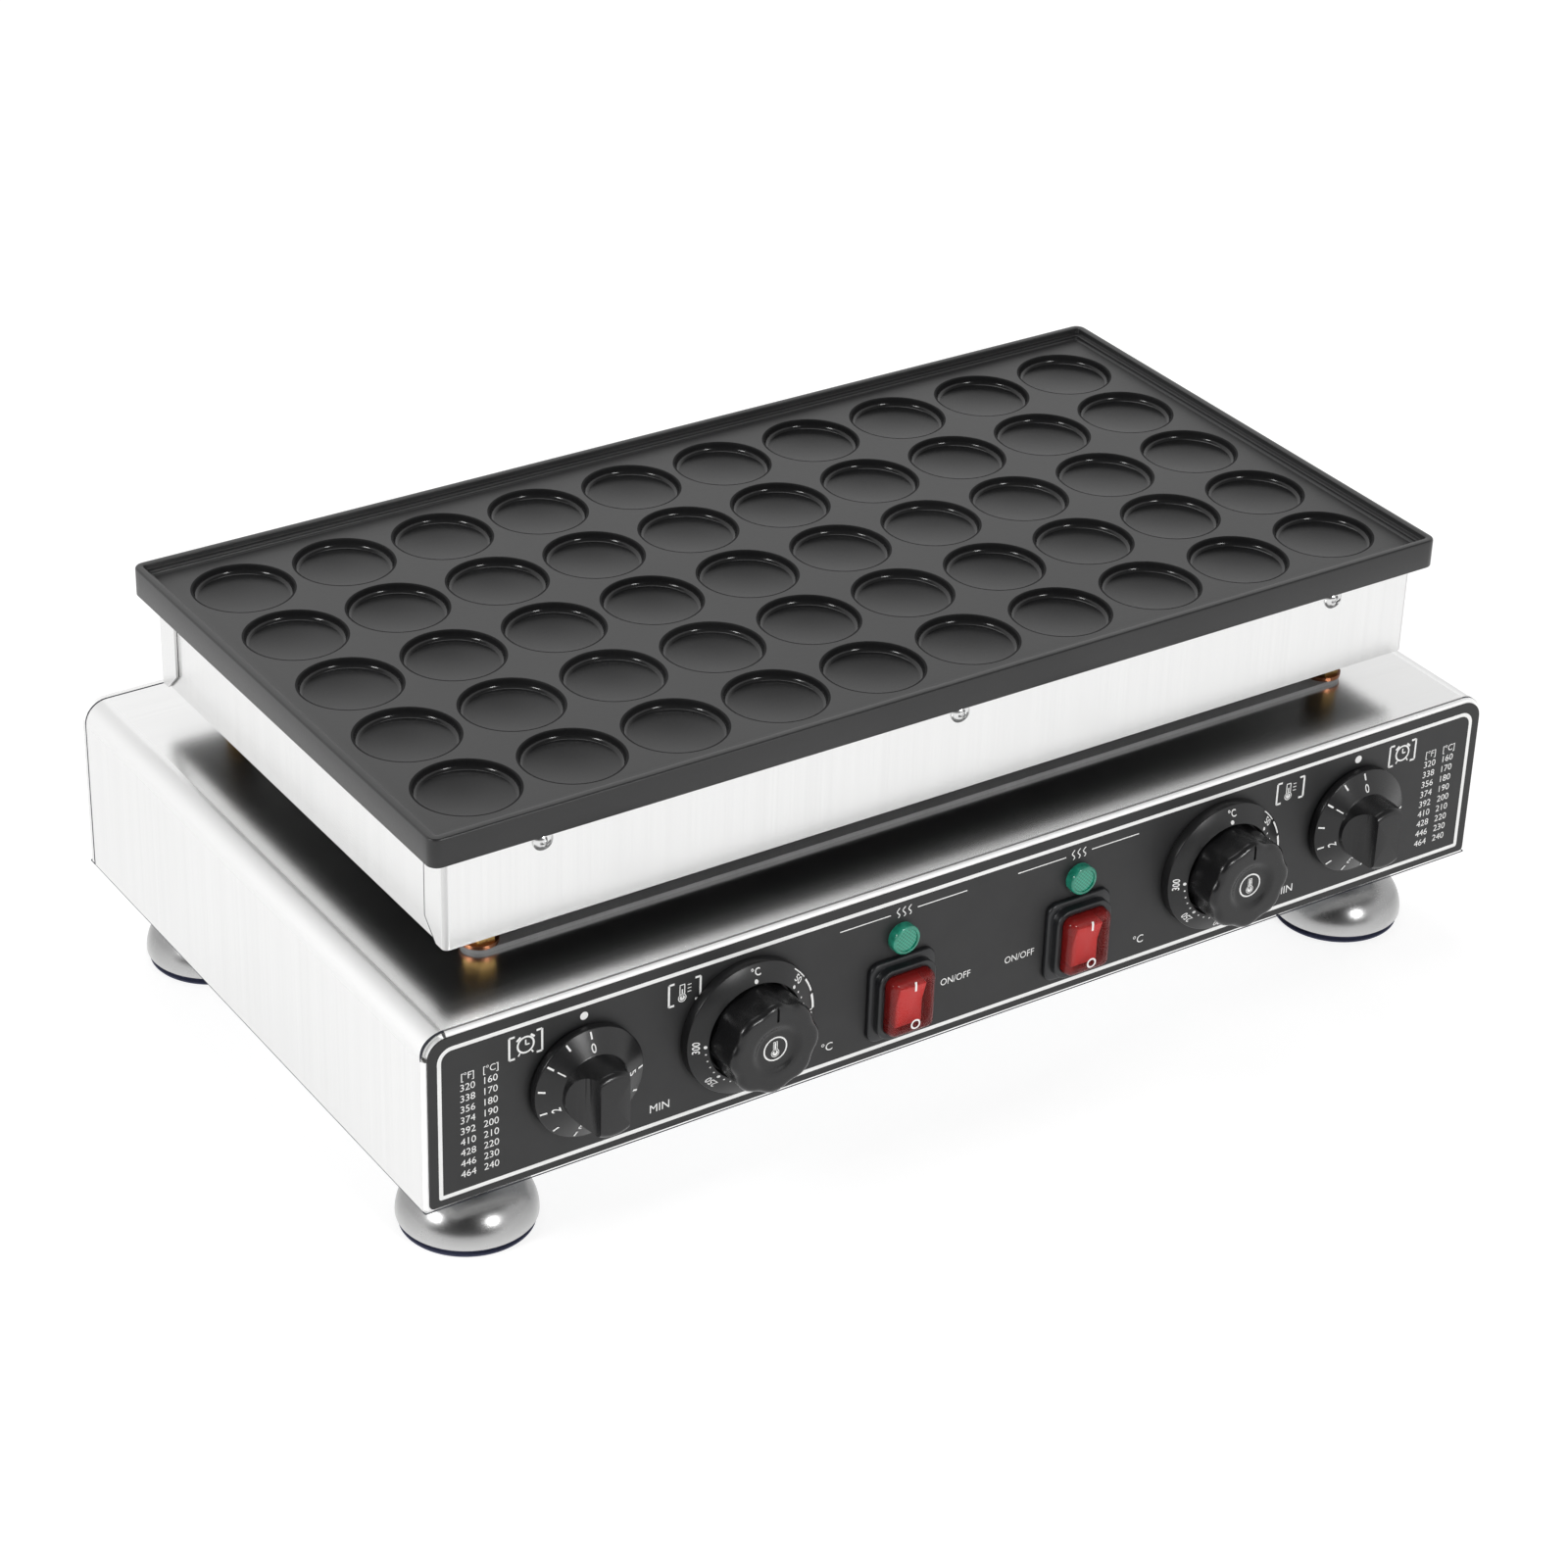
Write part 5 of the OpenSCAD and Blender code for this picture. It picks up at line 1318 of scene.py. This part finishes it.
for shift in (-3.0, 0.0, 3.0):
    waveSign.append(("path", [(shift + math.sin(t * 0.9) * 0.75, t * 0.6 - 2.4) for t in range(9)], 0.5))
waveSign += mirrored((7.0, 0.0, 33.0, 0.0, 0.5))

# panel print: frame line, number tables, signs and units; x from the middle, y above the base's lower edge
panelPrint = {
    "frame": {"half": 273.9, "low": 5.2, "high": 79.2, "line": 1.9, "topCorner": 7.0, "lowCorner": 1.2, "least": 0.3},
    "tableRows": 9,
    "tableLow": 14.6,
    "tablePitch": 5.35,
    "digits": 3.5,
    "heading": 4.4,
    "celsius": 160,
    "celsiusStep": 10,
    "columns": {"left": (-260.0, -249.2), "right": (250.3, 261.3)},
    "clock": {"left": -232.9, "right": 232.3},
    "warmth": {"left": -156.9, "right": 166.0},
    "bulbShift": -1.2,
    "signLevel": 68.2,
    "pointer": (72.8, 1.9),
    "units": (("MIN", 4.2, 168.4, 14.6, 1.0), ("°C", 4.2, 84.0, 15.2, 1.0), ("ON/OFF", 3.6, 17.2, 28.4, 0.9)),
    "waves": (46.5, 72.0),
}


def printFrame(sheet, spec):
    tall, centre = spec["high"] - spec["low"], (spec["high"] + spec["low"]) / 2
    loops = []
    for inset in (0.0, spec["line"]):
        top, low = spec["topCorner"] - inset, max(spec["lowCorner"] - inset, spec["least"])
        loop = cornerLoop(2 * (spec["half"] - inset), tall - 2 * inset, (low, top, top, low), 0, 8)
        loops.append([(x, y + centre) for x, y, z in loop])
    sheet.band(*loops)


def printTable(sheet, spec, side):
    fahrenheitX, celsiusX = spec["columns"][side]
    top = spec["tableLow"] + spec["tablePitch"] * spec["tableRows"]
    for k in range(spec["tableRows"]):
        level = top - spec["tablePitch"] * (k + 1)
        warmth = spec["celsius"] + spec["celsiusStep"] * k
        sheet.words(str(round(warmth * 9 / 5 + 32)), spec["digits"], fahrenheitX, level, 0.0, 1.02)
        sheet.words(str(warmth), spec["digits"], celsiusX, level, 0.0, 1.02)
    sheet.words("[°F]", spec["heading"], fahrenheitX, top, 0.0, 0.95)
    sheet.words("[°C]", spec["heading"], celsiusX, top, 0.0, 0.95)


def makePanelPrint(spec):
    sheet = inkSheet()
    printFrame(sheet, spec["frame"])
    for side, way in zip(bothSides, (-1, 1)):
        printTable(sheet, spec, side)
        sheet.draw(clockSign, spec["clock"][side], spec["signLevel"])
        sheet.draw(bracketSign, spec["warmth"][side], spec["signLevel"])
        sheet.draw(bulbSign, spec["warmth"][side] + spec["bulbShift"], spec["signLevel"])
        sheet.disc(middle("timer_knob_" + side).x / mm, *spec["pointer"])
        for text, height, away, level, squeeze in spec["units"]:
            sheet.words(text, height, way * away, level, 0.0, squeeze)
        sheet.draw(waveSign, way * spec["waves"][0], spec["waves"][1])
    place = panelPlace(0.0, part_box("base_shell")[0].z) @ Matrix.Translation((0, 0, inkLift))
    sheet.lay("panelPrint", place, "base")


makePanelPrint(panelPrint)
print("panel printed")

# finishes for the CAD nodes that stay in view
slotFinish = {
    "stainless": "steelAcrossX",
    "polished_steel": "polishedFeet",
    "zinc_steel": "zincSteel",
    "panel_black": "panelFilm",
    "coated_aluminium": "plateCoating",
    "heater_steel": "heaterSteel",
    "brass": "studBrass",
    "copper": "washerCopper",
    "rubber_black": "padRubber",
    "black_plastic": "knobPlastic",
    "red_plastic": "rockerRed",
    "green_plastic": "lensRim",
    "ceramic_white": "ceramicBody",
    "mineral_wool": "woolMat",
}
nodeFinish = {
    "base_shell": "steelAcrossY",
    "box_left": "steelAcrossY",
    "box_right": "steelAcrossY",
    "front_plate": "steelAcrossZ",
    "rear_plate": "steelAcrossZ",
    # the box floor is painted near-black as the shade under the box
    "box_floor": "paintedShadeSheet",
    "support_rail_front": "railGrey",
    "support_rail_rear": "railGrey",
    "cable_gland": "glandPlastic",
}


def dressNodes():
    for part in frame["record"]["subparts"]:
        finish = finishes[nodeFinish.get(part["node"], slotFinish[part["material_slot"]])]
        for spot in nodes[part["node"]].material_slots:
            spot.material = finish


dressNodes()
print("nodes dressed")

# studio: white floor, white surround with a dark top and front, three soft lights
studio = {
    "surround": (1.0, 1.0, 1.0, 1.0),
    "strength": {"horizon": 1.16, "zenith": 0.26},
    "fade": (0.46, 0.68),
    "dimHeading": (-0.56, -0.83),
    "dimRange": (0.42, 0.72),
    "dimShare": 0.93,
    "liftX": (0.42, 0.22),
    "liftY": (0.30, 0.50),
    "lift": 0.20,
    "floorHalf": 9000.0,
    "floorTones": ((0.35, 0.35, 0.35), (0.37, 0.37, 0.37)),
    "floorRough": (0.75, 0.85),
    "floorCloud": 3.0,
    "floorGlow": 0.75,
    "aim": (0, 0, 0.1),
    "lights": {
        "leftBox": {"place": (-2.2, -0.23, 1.15), "size": (0.48, 0.54), "watts": 22.0},
        "frontBox": {"place": (0.28, -2.17, 1.10), "size": (0.44, 0.54), "watts": 20.0},
        "topBox": {"place": (0.3, 0.9, 2.4), "size": (1.2, 1.2), "watts": 12.0},
    },
}


def floorPaint(graph, spec):
    cloud = noise(graph, spec["floorCloud"])
    return {
        "Base Color": tint(graph, cloud, *spec["floorTones"]),
        "Roughness": spread(cloud, spec["floorRough"]),
        "Emission Color": spec["surround"],
        "Emission Strength": spec["floorGlow"],
    }


def makeFloor(spec):
    half = spec["floorHalf"]
    corners = [(-half, -half, 0), (half, -half, 0), (half, half, 0), (-half, half, 0)]
    floor = solidPiece("paleFloor", corners, [(0, 1, 2, 3)], worldPlace)
    floor.data.materials.append(makeMaterial("paleFloor", floorPaint, spec))


def makeSurround(spec):
    world = bpy.data.worlds.new("whiteSurround")
    world.use_nodes = True
    sky = nodeGraph(world.node_tree)
    heading = sky.add("ShaderNodeTexCoord", out="Generated")
    east, north, rise = [sky.add("ShaderNodeSeparateXYZ", None, {"Vector": heading}, axis) for axis in "XYZ"]
    dim = fitted(sky, east * spec["dimHeading"][0] + north * spec["dimHeading"][1], *spec["dimRange"])
    lift = fitted(sky, east, *spec["liftX"]) * fitted(sky, north, *spec["liftY"])
    share = fitted(sky, rise - lift * spec["lift"], *spec["fade"])
    strength = spread(share, (spec["strength"]["horizon"], spec["strength"]["zenith"])) * (1 - dim * spec["dimShare"])
    glow = sky.add("ShaderNodeBackground", None, {"Color": spec["surround"], "Strength": strength})
    sky.add("ShaderNodeOutputWorld", None, {"Surface": glow})
    scene.world = world


def makeLights(spec):
    for name, lamp in spec["lights"].items():
        data = bpy.data.lights.new(name, "AREA")
        data.shape = "RECTANGLE"
        data.size, data.size_y = lamp["size"]
        data.energy = lamp["watts"]
        obj = newObject(name, data)
        obj.location = lamp["place"]
        obj.rotation_euler = (Vector(spec["aim"]) - Vector(lamp["place"])).to_track_quat("-Z", "Y").to_euler()


makeFloor(studio)
makeSurround(studio)
makeLights(studio)
print("studio set")
